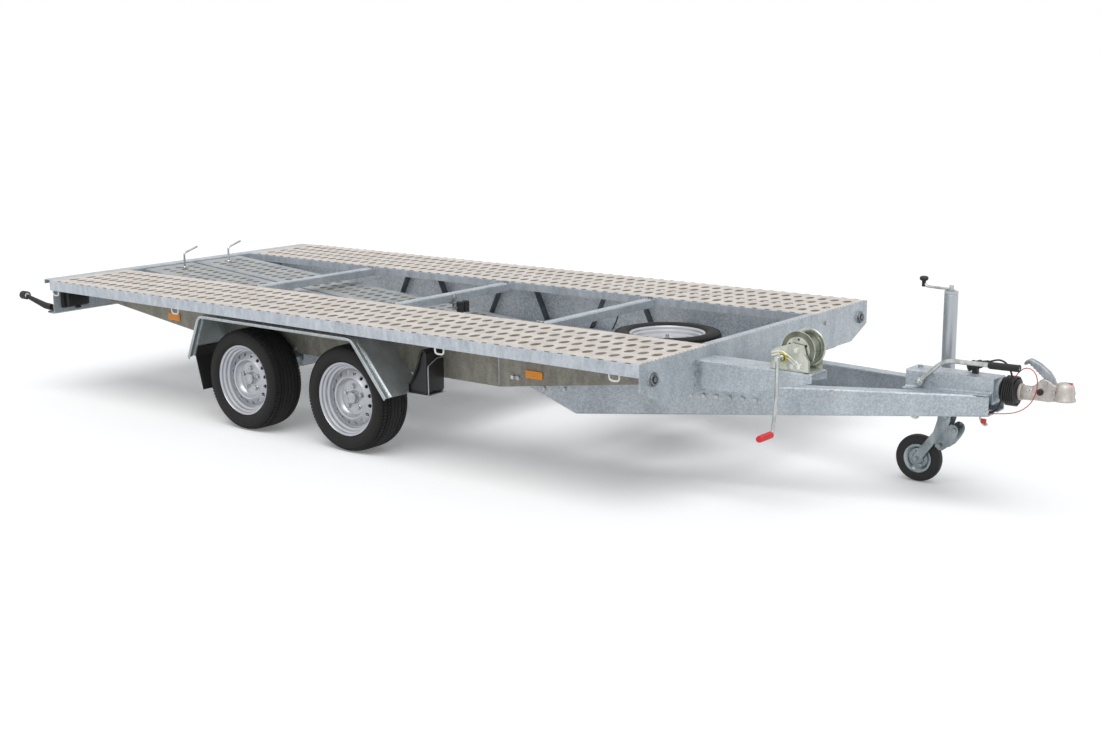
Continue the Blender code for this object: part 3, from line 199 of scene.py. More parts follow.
# Zinc on thin pressed sheet: smoother and shinier than the frame, its crystals hardly seen.
guard_zinc = zinc_skin("mudguard_galvanised_sheet", "BFC6C9", "8E9799", 0.006, 0.36, 0.60, 0.20,
                       0.12)
# Zinc on the left side member's web, brightened as painted light: nearly white with strong
# spangle.
web_zinc_painted_light = zinc_skin("spangled_web_zinc_painted_light", "F4FAFF", "BAC6D2", 0.008, 0.42, 0.10, 0.20, 0.60)
# Zinc on the right side member's web, darkened as painted shade: a warm olive grey, dull, with
# small soft clouds.
web_zinc_painted_shade = zinc_skin("olive_web_zinc_painted_shade", "9C9A90", "716E64", 0.007, 0.55, 0.30, 0.05, 0.18)
# The side members take a lit and a shaded copy of one zinc: painted light on the left, painted
# shade on the right.
dress(web_zinc_painted_light, "side_member_left")
dress(web_zinc_painted_shade, "side_member_right")
dress(galvanised, "cross_member_1", "cross_member_2", "cross_member_3", "drawbar_beam_left",
      "drawbar_beam_right", "drawbar_cross_rear", "rear_cross_member", "front_plate",
      "axle_front", "axle_rear", "ramp_rest", "winch_stand", "overrun_housing")
dress(guard_zinc, "mudguard_left", "mudguard_right")


def at(x, y, z):
    """A place measured from the deck's rear edge, the middle and the ground, in metres."""
    return Vector((x - DECK_ORIGIN, y, z))


def take(*pieces):
    """Select these pieces alone, in object mode, with the first one active."""
    if bpy.context.mode != "OBJECT":
        bpy.ops.object.mode_set(mode="OBJECT")
    bpy.ops.object.select_all(action="DESELECT")
    for piece in pieces:
        piece.select_set(True)
    if pieces:
        bpy.context.view_layer.objects.active = pieces[0]


def discard(*masters):
    """Remove master pieces once their copies are made."""
    for master in masters:
        bpy.data.objects.remove(master, do_unlink=True)


def edit(piece, mode="VERT"):
    """Open a piece in edit mode with nothing selected."""
    take(piece)
    bpy.ops.object.mode_set(mode="EDIT")
    bpy.ops.mesh.select_mode(type=mode)
    bpy.ops.mesh.select_all(action="DESELECT")


def choose(piece, wanted, kind="faces"):
    """Select the faces or edges whose middle, and normal or self, pass the test."""
    work = bmesh.from_edit_mesh(piece.data)
    for part in getattr(work, kind):
        if kind == "faces":
            part.select_set(bool(wanted(part.calc_center_median(), part.normal)))
        else:
            part.select_set(bool(wanted((part.verts[0].co + part.verts[1].co) / 2, part)))
    work.select_flush_mode()
    bmesh.update_edit_mesh(piece.data)


def apply_all(piece):
    """Apply every modifier, as by hand, in order."""
    take(piece)
    for step in list(piece.modifiers):
        bpy.ops.object.modifier_apply(modifier=step.name)


SAME_SPOT = 0.00002  # points closer than this are one


def close_up():
    """Merge the doubles of the open piece, turn its faces outwards and leave edit mode."""
    bpy.ops.mesh.select_all(action="SELECT")
    bpy.ops.mesh.remove_doubles(threshold=SAME_SPOT)
    bpy.ops.mesh.normals_make_consistent(inside=False)
    bpy.ops.object.mode_set(mode="OBJECT")


def settle(piece, name, skins, body="chassis", smooth=35, mend=False):
    """Name a finished piece, bring its place into its mesh, give it its finishes and the angle
    up to which it is smooth, and hang it on its body."""
    apply_all(piece)
    bpy.ops.object.transform_apply(location=True, rotation=True, scale=True)
    if mend:
        edit(piece)
        close_up()
    if smooth:
        bpy.ops.object.shade_smooth_by_angle(angle=math.radians(smooth))
    piece.name = piece.data.name = name
    indices = [face.material_index for face in piece.data.polygons]
    piece.data.materials.clear()
    for skin in skins if isinstance(skins, tuple) else (skins,):
        piece.data.materials.append(skin)
    piece.data.polygons.foreach_set("material_index",
                                    indices if isinstance(skins, tuple) else [0] * len(indices))
    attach(piece, body)
    return piece


def drawn_line(name, points):
    """One vertex extruded from point to point, as a profile is drawn by hand."""
    take()
    bpy.ops.mesh.primitive_plane_add(size=0.01, location=(0, 0, 0))
    line = bpy.context.object
    line.name = name
    bpy.ops.object.mode_set(mode="EDIT")
    bpy.ops.mesh.select_mode(type="VERT")
    bpy.ops.mesh.select_all(action="SELECT")
    bpy.ops.mesh.merge(type="CENTER")
    bpy.ops.mesh.select_all(action="SELECT")
    bpy.ops.transform.translate(value=Vector(points[0]))
    for before, after in zip(points, points[1:]):
        bpy.ops.mesh.extrude_region_move(
            TRANSFORM_OT_translate={"value": Vector(after) - Vector(before)})
    return line


def aimed(place, along):
    """The matrix that takes the upright at the origin to a place and direction."""
    return (Matrix.Translation(place)
            @ Vector(along).normalized().to_track_quat("Z", "Y").to_matrix().to_4x4())


def turned(name, profile, steps, place=(0, 0, 0), along=(0, 0, 1)):
    """Spin a profile of (radius, height) a full turn about its own axis. A profile that starts
    off the axis is a ring's section, and its ends are joined first."""
    line = drawn_line(name, [(radius, 0, height) for radius, height in profile])
    bpy.ops.mesh.select_all(action="SELECT")
    if profile[0][0] > 0:
        work = bmesh.from_edit_mesh(line.data)
        work.edges.new([v for v in work.verts if len(v.link_edges) == 1])
        bmesh.update_edit_mesh(line.data)
        bpy.ops.mesh.select_all(action="SELECT")
    bpy.ops.mesh.spin(steps=steps, angle=2 * math.pi, center=(0, 0, 0), axis=(0, 0, 1))
    close_up()
    line.matrix_world = aimed(place, along)
    return line


def slab(name, outline, low, high, bevel=0.0, segments=2):
    """An outline of (x, z) seen from the side, filled, pushed from one y to the other, and
    eased at its edges."""
    piece = drawn_line(name, [at(x, low, z) for x, z in outline])
    bpy.ops.mesh.select_all(action="SELECT")
    bpy.ops.mesh.edge_face_add()
    bpy.ops.mesh.extrude_region_move(TRANSFORM_OT_translate={"value": (0, high - low, 0)})
    close_up()
    if bevel:
        soft = piece.modifiers.new("edge", "BEVEL")
        soft.width = bevel
        soft.segments = segments
        soft.limit_method = "ANGLE"
        apply_all(piece)
    return piece


def block(name, low, high, bevel, segments=2):
    """A small block between two corners, measured from the deck's rear edge."""
    (x0, y0, z0), (x1, y1, z1) = low, high
    return slab(name, [(x0, z0), (x1, z0), (x1, z1), (x0, z1)], y0, y1, bevel, segments)


ARC_STEPS = 6


def eased(points, radius):
    """The line with each inner corner turned into a small arc."""
    result = [points[0]]
    for before, corner, after in zip(points, points[1:], points[2:]):
        reach = min(radius, (before - corner).length * 0.49, (after - corner).length * 0.49)
        first = corner + (before - corner).normalized() * reach
        last = corner + (after - corner).normalized() * reach
        for step in range(ARC_STEPS + 1):
            share = step / ARC_STEPS
            result.append(first.lerp(corner, share).lerp(corner.lerp(last, share), share))
    return result + [points[-1]]


def threaded_curve(name, points, radius, fine, widths=None):
    """An open curve through world points, with a round section and closed ends."""
    curve = bpy.data.curves.new(name, "CURVE")
    curve.dimensions = "3D"
    curve.bevel_depth = radius
    curve.bevel_resolution = fine
    curve.use_fill_caps = True
    line = curve.splines.new("POLY")
    line.points.add(len(points) - 1)
    for index, (spot, place) in enumerate(zip(line.points, points)):
        spot.co = (*place, 1)
        spot.radius = widths[index] if widths else 1.0
    piece = bpy.data.objects.new(name, curve)
    bpy.context.scene.collection.objects.link(piece)
    return piece


def pipe(name, points, radius, fine=2, corner=0.0, widths=None):
    """A bent round bar, its places measured from the deck's rear edge."""
    line = [at(*spot) for spot in points]
    take(threaded_curve(name, eased(line, corner) if corner else line, radius, fine, widths))
    bpy.ops.object.convert(target="MESH")
    return bpy.context.object


def joined(*pieces):
    """Join pieces into the first."""
    take(*pieces)
    bpy.ops.object.join()
    return bpy.context.object


def copied(master, matrix):
    """A copy of a master piece with its own mesh, moved to its place."""
    made = master.copy()
    made.data = master.data.copy()
    bpy.context.scene.collection.objects.link(made)
    made.matrix_world = matrix @ master.matrix_world
    return made


def hexagon(name, across_flats, height, washer):
    """A bolt head: a six-sided prism with its top edge turned down, on a washer of that
    radius."""
    take()
    bpy.ops.mesh.primitive_cylinder_add(vertices=6, radius=across_flats / math.sqrt(3),
                                        depth=height, location=(0, 0, height / 2))
    head = bpy.context.object
    head.name = name
    edit(head, "FACE")
    choose(head, lambda spot, n: n.z > 0.9)
    bpy.ops.mesh.inset(thickness=across_flats * 0.08)
    bpy.ops.transform.translate(value=(0, 0, height * 0.10))
    bpy.ops.object.mode_set(mode="OBJECT")
    ring = turned("washer", [(0, 0.0016), (washer - 0.0005, 0.0016), (washer, 0.0011),
                             (washer, -0.001), (0, -0.001)], 14)
    head.location.z += 0.0014
    return joined(head, ring)


# Bright electroplated zinc: an even silver shine with slow reflections and no crystals.
bright_zinc = zinc_skin("bright_zinc_plate", "C4C7C8", "969B9D", 0.02, 0.27, 0.80, 0.03, 0.06,
                        0.02)
bolt_master = hexagon("bolt_master", 0.019, 0.009, 0.0125)


def bolt(place, along, scale=1.0):
    """A copy of the bolt head, standing on a face that looks along a direction."""
    return copied(bolt_master, aimed(place, along) @ Matrix.Scale(scale, 4))


SIDES = (("right", -1), ("left", 1))
BEAM_TURN = 0.26766  # how fast a drawbar beam's face moves inwards with x
BEAM_NOSE, NOSE_HALF = 5.21, 0.086
WEB = 0.744  # the side members' webs


def beam_face(x):
    """How far a drawbar beam's outer face is from the middle."""
    return NOSE_HALF + BEAM_TURN * (BEAM_NOSE - x)


spots = []
for side in (-1, 1):
    web = (0, side, 0)
    for x, z in ((3.407, 0.421), (3.523, 0.434), (3.225, 0.452), (3.256, 0.452),
                 (1.69, 0.418), (1.77, 0.418), (2.44, 0.418), (2.52, 0.418)):
        spots.append((at(x, side * WEB, z), web))
    for x in (3.974, 4.032, 4.089, 4.147, 4.205, 4.262):
        spots.append((at(x, side * beam_face(x), 0.41), (BEAM_TURN, side, 0)))
    spots.append((at(4.584, side * beam_face(4.584), 0.47), (BEAM_TURN, side, 0)))
    for z in (0.597, 0.552, 0.503):
        spots.append((at(4.1183, -0.591 if side < 0 else -0.422, z), (1, 0, 0)))
    for x in (1.13, 2.18, 3.15):
        for lean in (-0.012, 0.012):
            spots.append((at(x + lean, side * 0.452, 0.65), (0, 0, 1)))
spots.append((at(4.11, 0.566, 0.604), (1, 0, 0)))
spots.append((at(4.868, 0.0, 0.571), (0, 0, 1)))
settle(joined(*[bolt(*spot) for spot in spots]), "frame_bolts", bright_zinc)

# Lashing eyes on the front plate
# A forged ring lies in a round pressed cup, held by one bolt through the plate. The pair
# stands near the plate's outer ends.
for name, side in SIDES:
    eye_at = at(4.118, side * 0.92, 0.583)
    cup = turned("cup", [(0.008, 0.0004), (0.017, 0.0006), (0.026, 0.004), (0.03, 0.0045),
                         (0.0315, 0.003), (0.0315, -0.0006), (0.008, -0.0006)], 32, eye_at,
                 (1, 0, 0))
    take()
    bpy.ops.mesh.primitive_torus_add(major_radius=0.0215, minor_radius=0.0042, major_segments=32,
                                     minor_segments=10, rotation=(0, math.radians(80), 0),
                                     location=eye_at + Vector((0.0065, 0, 0)))
    link = bpy.context.object
    link.scale = (1.0, 1.12, 1.0)
    # Zinc on a rough forging: dark, metallic and finely mottled.
    forged_zinc = zinc_skin(f"dark_forged_zinc_{name}", "8E9396", "5C6266", 0.004, 0.40, 0.75,
                            0.02, 0.15)
    settle(joined(cup, link, bolt(eye_at, (1, 0, 0))), f"lashing_eye_{name}", forged_zinc,
           smooth=40)

# Struts in the side members
# Each side member is stiffened by three pairs of flat bars, welded in on a lean between its
# flanges, on the web's inner side.

# Zinc darkened to a dark blue grey as painted shade, so that the bars stand out from their web.
shaded_zinc = zinc_skin("shaded_strut_zinc", "7A8086", "4E555B", 0.006, 0.50, 0.45, 0.05, 0.15)
for name, side in SIDES:
    y0, y1 = sorted((side * 0.6954, side * 0.7412))
    bars = [slab("bar", [(x + way * 0.095 - 0.0006, 0.65), (x + way * 0.095 + 0.0046, 0.65),
                         (x + way * 0.215 + 0.0046, 0.3986), (x + way * 0.215 - 0.0006, 0.3986)],
                 y0, y1) for x in (1.32, 2.06, 2.80) for way in (-1, 1)]
    settle(joined(*bars), f"web_struts_{name}", shaded_zinc, smooth=0, mend=True)

# Weld beads
# The front plate is tacked to the treadways and its flange every 30 mm. A long bead closes
# the seam in each side member's web.

# Rust bleeding through thin zinc: a dull red brown with a coarse grain of 2 mm.
rust = zinc_skin("rusty_weld", "9A7A68", "6B5145", 0.002, 0.6, 0.2, 0.02, 0.3, 0.3)
bead = turned("bead", [(0, 0.0014), (0.0022, 0.0011), (0.0034, 0.0002), (0.0034, -0.0006),
                       (0, -0.0006)], 8)
BEAD_STEP, BEAD_COUNT = 0.03, 66
beads = [copied(bead, aimed(at(4.1045, -0.975 + BEAD_STEP * step, 0.658), (0, 0, 1)))
         for step in range(BEAD_COUNT)]
settle(joined(*beads), "weld_beads", rust, smooth=40)
discard(bead)
for name, side in SIDES:
    settle(pipe("seam", [(3.14, side * WEB, 0.402), (3.141, side * (WEB + 0.0002), 0.50),
                         (3.139, side * WEB, 0.645)], 0.0022), f"web_seam_{name}", galvanised,
           mend=True)

# Treadways
# Each is one tray of 3 mm galvanised sheet, pierced by a press in four rows of eye-shaped
# holes whose edges are drawn down for grip. Its outer lip is folded down 56 mm and its inner
# one 41 mm, and lashing loops of round bar hang under its outer edge.


def pierced_field(name, columns, rows, pitch, row_pitch, eye, dish, start, top):
    """A flat field of sheet with eye-shaped holes. One pitch is pierced and drawn down in
    the dish's steps of (shrink, drop), then repeated both ways. The drawn walls take the
    piece's second finish."""
    take()
    bpy.ops.mesh.primitive_plane_add(size=1, location=(0, 0, 0))
    cell = bpy.context.object
    for skin in (galvanised, rust, bright_zinc):  # they only keep three places for settle
        cell.data.materials.append(skin)
    cell.scale = (pitch, row_pitch, 1)
    bpy.ops.object.transform_apply(location=False, rotation=False, scale=True)
    edit(cell, "FACE")
    bpy.ops.mesh.select_all(action="SELECT")
    bpy.ops.mesh.subdivide(number_cuts=4)
    cut, rim = 0.31, 0.35  # of a pitch: the opening, and the points on its edge
    choose(cell, lambda spot, n: abs(spot.x) < pitch * cut and abs(spot.y) < row_pitch * cut)
    bpy.ops.mesh.delete(type="FACE")
    bpy.ops.mesh.select_mode(type="VERT")
    work = bmesh.from_edit_mesh(cell.data)
    for v in work.verts:
        if v.is_boundary and abs(v.co.x) < pitch * rim and abs(v.co.y) < row_pitch * rim:
            turn = math.atan2(v.co.y / row_pitch, v.co.x / pitch)
            v.co.x = eye[0] / 2 * math.cos(turn) * (0.72 + 0.28 * abs(math.cos(turn)))
            v.co.y = eye[1] / 2 * math.sin(turn) * (0.90 + 0.10 * abs(math.sin(turn)))
            v.select_set(True)
    work.select_flush_mode()
    bmesh.update_edit_mesh(cell.data)
    for shrink, drop in dish:
        bpy.ops.mesh.select_mode(type="EDGE")
        bpy.ops.mesh.extrude_region_move(TRANSFORM_OT_translate={"value": (0, 0, drop)})
        bpy.ops.transform.resize(value=(*shrink, 1))
    work = bmesh.from_edit_mesh(cell.data)
    # Faces drawn down below the sheet's top take the second finish, the painted shade in the
    # holes.
    for face in work.faces:
        face.material_index = int(face.calc_center_median().z < -0.0004)
    bmesh.update_edit_mesh(cell.data)
    bpy.ops.object.mode_set(mode="OBJECT")
    for count, step in ((columns, (pitch, 0, 0)), (rows, (0, row_pitch, 0))):
        repeat = cell.modifiers.new("repeat", "ARRAY")
        repeat.count = count
        repeat.use_relative_offset = False
        repeat.use_constant_offset = True
        repeat.constant_offset_displace = step
        repeat.use_merge_vertices = True
        repeat.merge_threshold = 0.0004
    apply_all(cell)
    cell.location = (start[0], start[1], top)
    bpy.ops.object.transform_apply(location=True, rotation=False, scale=False)
    cell.name = name
    return cell


def draw_out(piece, axis, value, move):
    """Extrude the open edge that lies at a place along an axis."""
    choose(piece, lambda spot, e: e.is_boundary and abs(spot[axis] - value) < 0.001, "edges")
    bpy.ops.mesh.extrude_region_move(TRANSFORM_OT_translate={"value": move})


SHEET = 0.003


def walled(piece):
    """Give a sheet its thickness, half to each side."""
    wall = piece.modifiers.new("wall", "SOLIDIFY")
    wall.thickness = SHEET
    wall.offset = 0
    apply_all(piece)
    return piece


TREAD_TOP = 0.658
EYE_PITCH, EYE_ROW, EYE_COLUMNS = 0.0702, 0.1113, 57
REAR_END, FRONT_END, FIRST_EYE = 0.0303, 4.1055, 0.119
OUTER = 1.0085  # the treadways' outer edges
OUTER_LIP, INNER_LIP = 0.0525, 0.038  # below the fold's curve
DISH = (((0.80, 0.86), -0.0022), ((0.58, 0.66), -0.0044))
# Trodden galvanised sheet: warm and pale, matt, its crystals worn to broad faint patches.
tread_skin = zinc_skin("trodden_galvanised_sheet", "E0D8D2", "C4BBB3", 0.012, 0.55, 0.25, 0.09,
                       0.12)
# Painted shade on the drawn-down edge of each hole, which reads as a dark brown ring; the edge
# dashes take it too.
dark_shade_skin = zinc_skin("drawn_edge_painted_shade", "8B8679", "5A5449", 0.004, 0.55, 0.35, 0.05, 0.2)
# The folded lip, where no shoe rubs: cool pale zinc with small clouds.
lip_skin = zinc_skin("pale_folded_lip_zinc", "CDD3DA", "A7AEB6", 0.006, 0.45, 0.40, 0.035, 0.15)
# Round bar white with fresh zinc bloom: nearly white, softly shining.
white_zinc = zinc_skin("white_zinc_rod", "E6E6E2", "C9C9C4", 0.002, 0.4, 0.35, 0.02, 0.1)


def faced(piece, number, wanted):
    """Give the chosen faces the piece's finish of that number."""
    bpy.ops.mesh.select_mode(type="FACE")
    choose(piece, wanted)
    piece.active_material_index = number
    bpy.ops.object.material_slot_assign()


def rolled_edges(tray, middle, half, reach, fold, lips):
    """Draw both long edges of a tray outwards, round its fold, and down by its lips."""
    for way, lip in zip((-1, 1), lips):
        edge = middle + way * half
        for across, down in ((reach, 0), (0.003, -0.0008), (fold, -0.0022), (0.0, -lip)):
            draw_out(tray, 1, edge, (0, way * across, down))
            edge += way * across


nick = block("nick", (DECK_ORIGIN - 0.014, -0.0036, -0.002),
             (DECK_ORIGIN + 0.014, 0.0036, 0.002), 0.0014, 1)
for name, side in SIDES:
    low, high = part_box(f"treadway_{name}")
    inner = min(abs(low.y), abs(high.y))
    field_rear = FIRST_EYE - EYE_PITCH / 2
    first = (inner + OUTER - 3 * EYE_ROW) / 2
    tray = pierced_field(f"tread_{name}", EYE_COLUMNS, 4, EYE_PITCH, EYE_ROW, (0.043, 0.069), DISH,
                         (FIRST_EYE - DECK_ORIGIN,
                          first if side > 0 else -first - 3 * EYE_ROW),
                         TREAD_TOP - 0.0015)
    edit(tray, "EDGE")
    field_front = field_rear + EYE_COLUMNS * EYE_PITCH
    draw_out(tray, 0, field_rear - DECK_ORIGIN, (REAR_END - field_rear, 0, 0))
    draw_out(tray, 0, field_front - DECK_ORIGIN, (FRONT_END - field_front, 0, 0))
    middle, half = side * (inner + OUTER) / 2, (OUTER - inner) / 2
    rolled_edges(tray, middle, 2 * EYE_ROW, half - 2 * EYE_ROW - 0.006, 0.0018,
                 (INNER_LIP, OUTER_LIP) if side > 0 else (OUTER_LIP, INNER_LIP))
    faced(tray, 2, lambda spot, n: abs(spot.y - middle) > half - 0.005)
    bpy.ops.object.mode_set(mode="OBJECT")
    loops = []
    for x in (0.076, 1.14, 3.01, 3.98):
        hang = side * 1.003
        loops.append(pipe("loop", [(x - 0.026, hang, 0.6105), (x - 0.026, hang, 0.574),
                                   (x + 0.026, hang, 0.574), (x + 0.026, hang, 0.6105)], 0.0045,
                          corner=0.024))
    settle(walled(tray), f"tread_sheet_{name}", (tread_skin, dark_shade_skin, lip_skin),
           smooth=30, mend=True)
    settle(joined(*loops), f"lashing_loops_{name}", white_zinc, smooth=50,
           mend=True)
    # Short dark dashes along both top edges, one to each column of holes, in the painted-shade
    # finish.
    nicks = [copied(nick, Matrix.Translation(
        at(FIRST_EYE + EYE_PITCH * step, side * across, TREAD_TOP - 0.0012)))
             for step in range(EYE_COLUMNS) for across in (OUTER - 0.0042, inner + 0.0042)]
    settle(joined(*nicks), f"edge_nicks_{name}", dark_shade_skin, smooth=0)
    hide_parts(f"treadway_{name}")
discard(nick)

# Loading ramps
# Two pierced trays, narrower and duller than the treadways, stowed on a slope between them.
# A threaded rod with a bent handle holds each one down.

# Galvanised sheet that has lain under wheels: a middle grey, duller than the treadways.
ramp_skin = zinc_skin("ramp_galvanised_sheet", "B5BABD", "8D9296", 0.01, 0.50, 0.40, 0.10, 0.18)
# Drawn bar with bright plating: almost a mirror, in long soft reflections.
rod_skin = zinc_skin("plated_rod_zinc", "D2D5D4", "9DA19E", 0.03, 0.24, 0.85, 0.03, 0.05, 0.02)
RAMP_FALL, RAMP_PITCH, RAMP_ROW, RAMP_LIP = 0.077, 0.0595, 0.09, 0.05
for name, side in SIDES:
    low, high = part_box(f"ramp_{name}")
    inner, outer = 0.012, 0.367
    slope = math.atan(RAMP_FALL)
    length = (high.x - low.x) / math.cos(slope)
    columns = int((length - 0.06) / RAMP_PITCH)
    tray = pierced_field(f"ramp_{name}", columns, 3, RAMP_PITCH, RAMP_ROW, (0.038, 0.058), DISH,
                         (0, -RAMP_ROW), 0)
    edit(tray, "EDGE")
    rear = -RAMP_PITCH / 2
    margin = (length - columns * RAMP_PITCH) / 2
    draw_out(tray, 0, rear, (-margin, 0, 0))
    draw_out(tray, 0, rear + columns * RAMP_PITCH, (margin, 0, 0))
    rolled_edges(tray, 0, 1.5 * RAMP_ROW, (outer - inner) / 2 - 1.5 * RAMP_ROW - 0.0065, 0.002,
                 (RAMP_LIP, RAMP_LIP))
    bpy.ops.object.mode_set(mode="OBJECT")
    walled(tray)
    top = 0.657 - RAMP_FALL * 0.062 - SHEET / 2
    tray.matrix_world = (Matrix.Translation((low.x, side * (inner + outer) / 2, top))
                         @ Matrix.Rotation(slope, 4, "Y")
                         @ Matrix.Translation((margin - rear, 0, 0)))
    settle(tray, f"ramp_tray_{name}", (ramp_skin, dark_shade_skin), smooth=30, mend=True)
    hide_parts(f"ramp_{name}")
    x, y = 0.18, side * 0.17
    rod = pipe("rod", [(x, y, 0.64), (x, y, 0.735), (x, y + 0.10, 0.765)], 0.006,
               corner=0.016)
    collars = [turned("thread", [(0, 0.0022), (0.0066, 0.0022), (0.0072, 0), (0.0066, -0.0022),
                                 (0, -0.0022)], 12, at(x, y, 0.662 + 0.005 * step))
               for step in range(8)]
    foot = turned("foot", [(0, 0.014), (0.01, 0.014), (0.012, 0.01), (0.016, 0.008),
                           (0.016, 0), (0, 0)], 20, at(x, y, 0.6415))
    settle(joined(rod, foot, *collars), f"ramp_lock_{name}", rod_skin, smooth=50,
           mend=True)

# Steel disc wheels
# A pressed steel disc is welded in a rolled rim and lacquered silver. Sixteen round holes
# near the disc's edge let the brake cool, and five bolts sit round the hub's grease cap.

# Silver lacquer sprayed on pressed steel: fine metal flake that glitters under a thin gloss.
# The flakes are drawn 1.5 mm wide, as coarse as they need to show.
silver, tree, shader, place = new_skin("silver_wheel_lacquer", {
    "Metallic": 0.55, "Roughness": 0.32, "Coat Weight": 0.3, "Coat Roughness": 0.15})
FLAKE_SIZE = 0.0015
flake = add_node(tree, "ShaderNodeTexNoise", None, {"Scale": 1 / FLAKE_SIZE, "Detail": 2.0},
                 {"Vector": place})
dust = add_node(tree, "ShaderNodeTexNoise", None, {"Scale": 14.0, "Detail": 4.0},
                {"Vector": place})
mix = add_node(tree, "ShaderNodeMath", {"operation": "MULTIPLY_ADD"}, {1: 0.5},
               {0: flake.outputs["Fac"], 2: dust.outputs["Fac"]})
ramp = add_node(tree, "ShaderNodeValToRGB", None, None, {0: mix.outputs[0]})
base = Vector(linear("C0C2C7")[:3])
for stop, share, level in zip(ramp.color_ramp.elements, (0.45, 1.0), (0.86, 1.0)):
    stop.position, stop.color = share, (*(base * level), 1)
tree.links.new(ramp.outputs["Color"], shader.inputs["Base Color"])

WHEEL_Y = 0.8585
RIM, FACE = 0.182, 0.054  # the flange's radius, and how far out the disc's ridge stands
VENTS, VENT_CIRCLE, VENT = 16, 0.1248, 0.0098
BOLTS, BOLT_CIRCLE, FIRST_BOLT = 5, 0.056, 0.3
rim_section = [
    (0.034, FACE - 0.03), (0.084, FACE - 0.03), (0.092, FACE - 0.022), (0.098, FACE - 0.004),
    (0.104, FACE), (0.11, FACE - 0.004), (0.114, FACE - 0.009), (0.136, FACE - 0.019),
    (0.143, FACE - 0.026), (0.149, FACE - 0.026), (0.151, FACE - 0.01), (0.16, FACE - 0.004),
    (0.163, FACE + 0.008), (0.171, FACE + 0.014), (0.173, FACE + 0.024), (0.18, FACE + 0.027),
    (RIM, FACE + 0.03), (RIM + 0.0005, FACE + 0.025), (RIM - 0.01, 0.071),
    (RIM - 0.01, -0.071), (RIM, -0.078), (RIM, -0.084), (RIM - 0.003, -0.082),
    (RIM - 0.013, -0.068), (RIM - 0.014, 0.0), (0.146, FACE - 0.03), (0.142, FACE - 0.03),
    (0.134, FACE - 0.023), (0.112, FACE - 0.013), (0.104, FACE - 0.004), (0.094, FACE - 0.026),
    (0.084, FACE - 0.034), (0.034, FACE - 0.034)]
rim_master = turned("rim_master", rim_section, 96)
drills = []
for step in range(VENTS):
    angle = (step + 0.5) * 2 * math.pi / VENTS
    take()
    bpy.ops.mesh.primitive_cylinder_add(
        vertices=14, radius=VENT, depth=0.05,
        location=(VENT_CIRCLE * math.cos(angle), VENT_CIRCLE * math.sin(angle), 0.038))
    drills.append(bpy.context.object)
drill = joined(*drills)
hole = rim_master.modifiers.new("holes", "BOOLEAN")
hole.operation = "DIFFERENCE"
hole.object = drill
hole.solver = "EXACT"
apply_all(rim_master)
discard(drill)
cap = turned("grease_cap", [(0, 0.047), (0.02, 0.047), (0.027, 0.045), (0.03, 0.04),
                            (0.0305, 0.03), (0.0335, 0.029), (0.0335, 0.022), (0, 0.022)], 40)
drum_back = turned("brake_drum", [(0, 0.018), (0.10, 0.018), (0.113, 0.012), (0.1148, 0.004),
                                  (0.1148, -0.038), (0.11, -0.04), (0, -0.04)], 48)
wheel_bolts = []
for step in range(BOLTS):
    angle = step * 2 * math.pi / BOLTS + FIRST_BOLT
    spot = Vector((BOLT_CIRCLE * math.cos(angle), BOLT_CIRCLE * math.sin(angle), 0.024))
    wheel_bolts.append(turned("bolt_seat", [(0, 0.004), (0.011, 0.004), (0.014, 0), (0, 0)], 14,
                              spot))
    wheel_bolts.append(copied(bolt_master, Matrix.Translation(spot + Vector((0, 0, 0.003)))))
hub_master = joined(cap, drum_back, *wheel_bolts)

# Tyres
# Black rubber, 195 mm wide on a 13-inch rim: a ribbed tread with cross cuts at the shoulders,
# plain sidewalls, and a thin moulding line on each shoulder.
RUBBER_GRAIN = 0.0012


def black_rubber(name, code, rough, dust, amount=0.35):
    """Black rubber or moulded plastic: a fine pebble grain under a film of dust, in soft
    patches that are duller where the film is thick."""
    made, tree, shader, place = new_skin(name)
    film = add_node(tree, "ShaderNodeTexNoise", None,
                    {"Scale": 9.0, "Detail": 6.0, "Roughness": 0.65}, {"Vector": place})
    grit = add_node(tree, "ShaderNodeTexNoise", None,
                    {"Scale": 1 / RUBBER_GRAIN, "Detail": 1.0}, {"Vector": place})
    ramp = add_node(tree, "ShaderNodeValToRGB", None, None, {0: film.outputs["Fac"]})
    for stop, share, tint in zip(ramp.color_ramp.elements, (0.40, 1.0 - amount * 0.5),
                                 (code, dust)):
        stop.position, stop.color = share, linear(tint)
    tree.links.new(ramp.outputs["Color"], shader.inputs["Base Color"])
    dull = add_node(tree, "ShaderNodeMapRange", None,
                    {"To Min": rough - 0.12, "To Max": rough + 0.12},
                    {"Value": film.outputs["Fac"]})
    tree.links.new(dull.outputs[0], shader.inputs["Roughness"])
    bump = add_node(tree, "ShaderNodeBump", None, {"Strength": 0.25, "Distance": 0.0004},
                    {"Height": grit.outputs["Fac"]})
    tree.links.new(bump.outputs["Normal"], shader.inputs["Normal"])
    return made


def both_sides(half):
    """Half a profile of (radius, height), followed by its own reflection."""
    return half + [(radius, -height) for radius, height in reversed(half)]


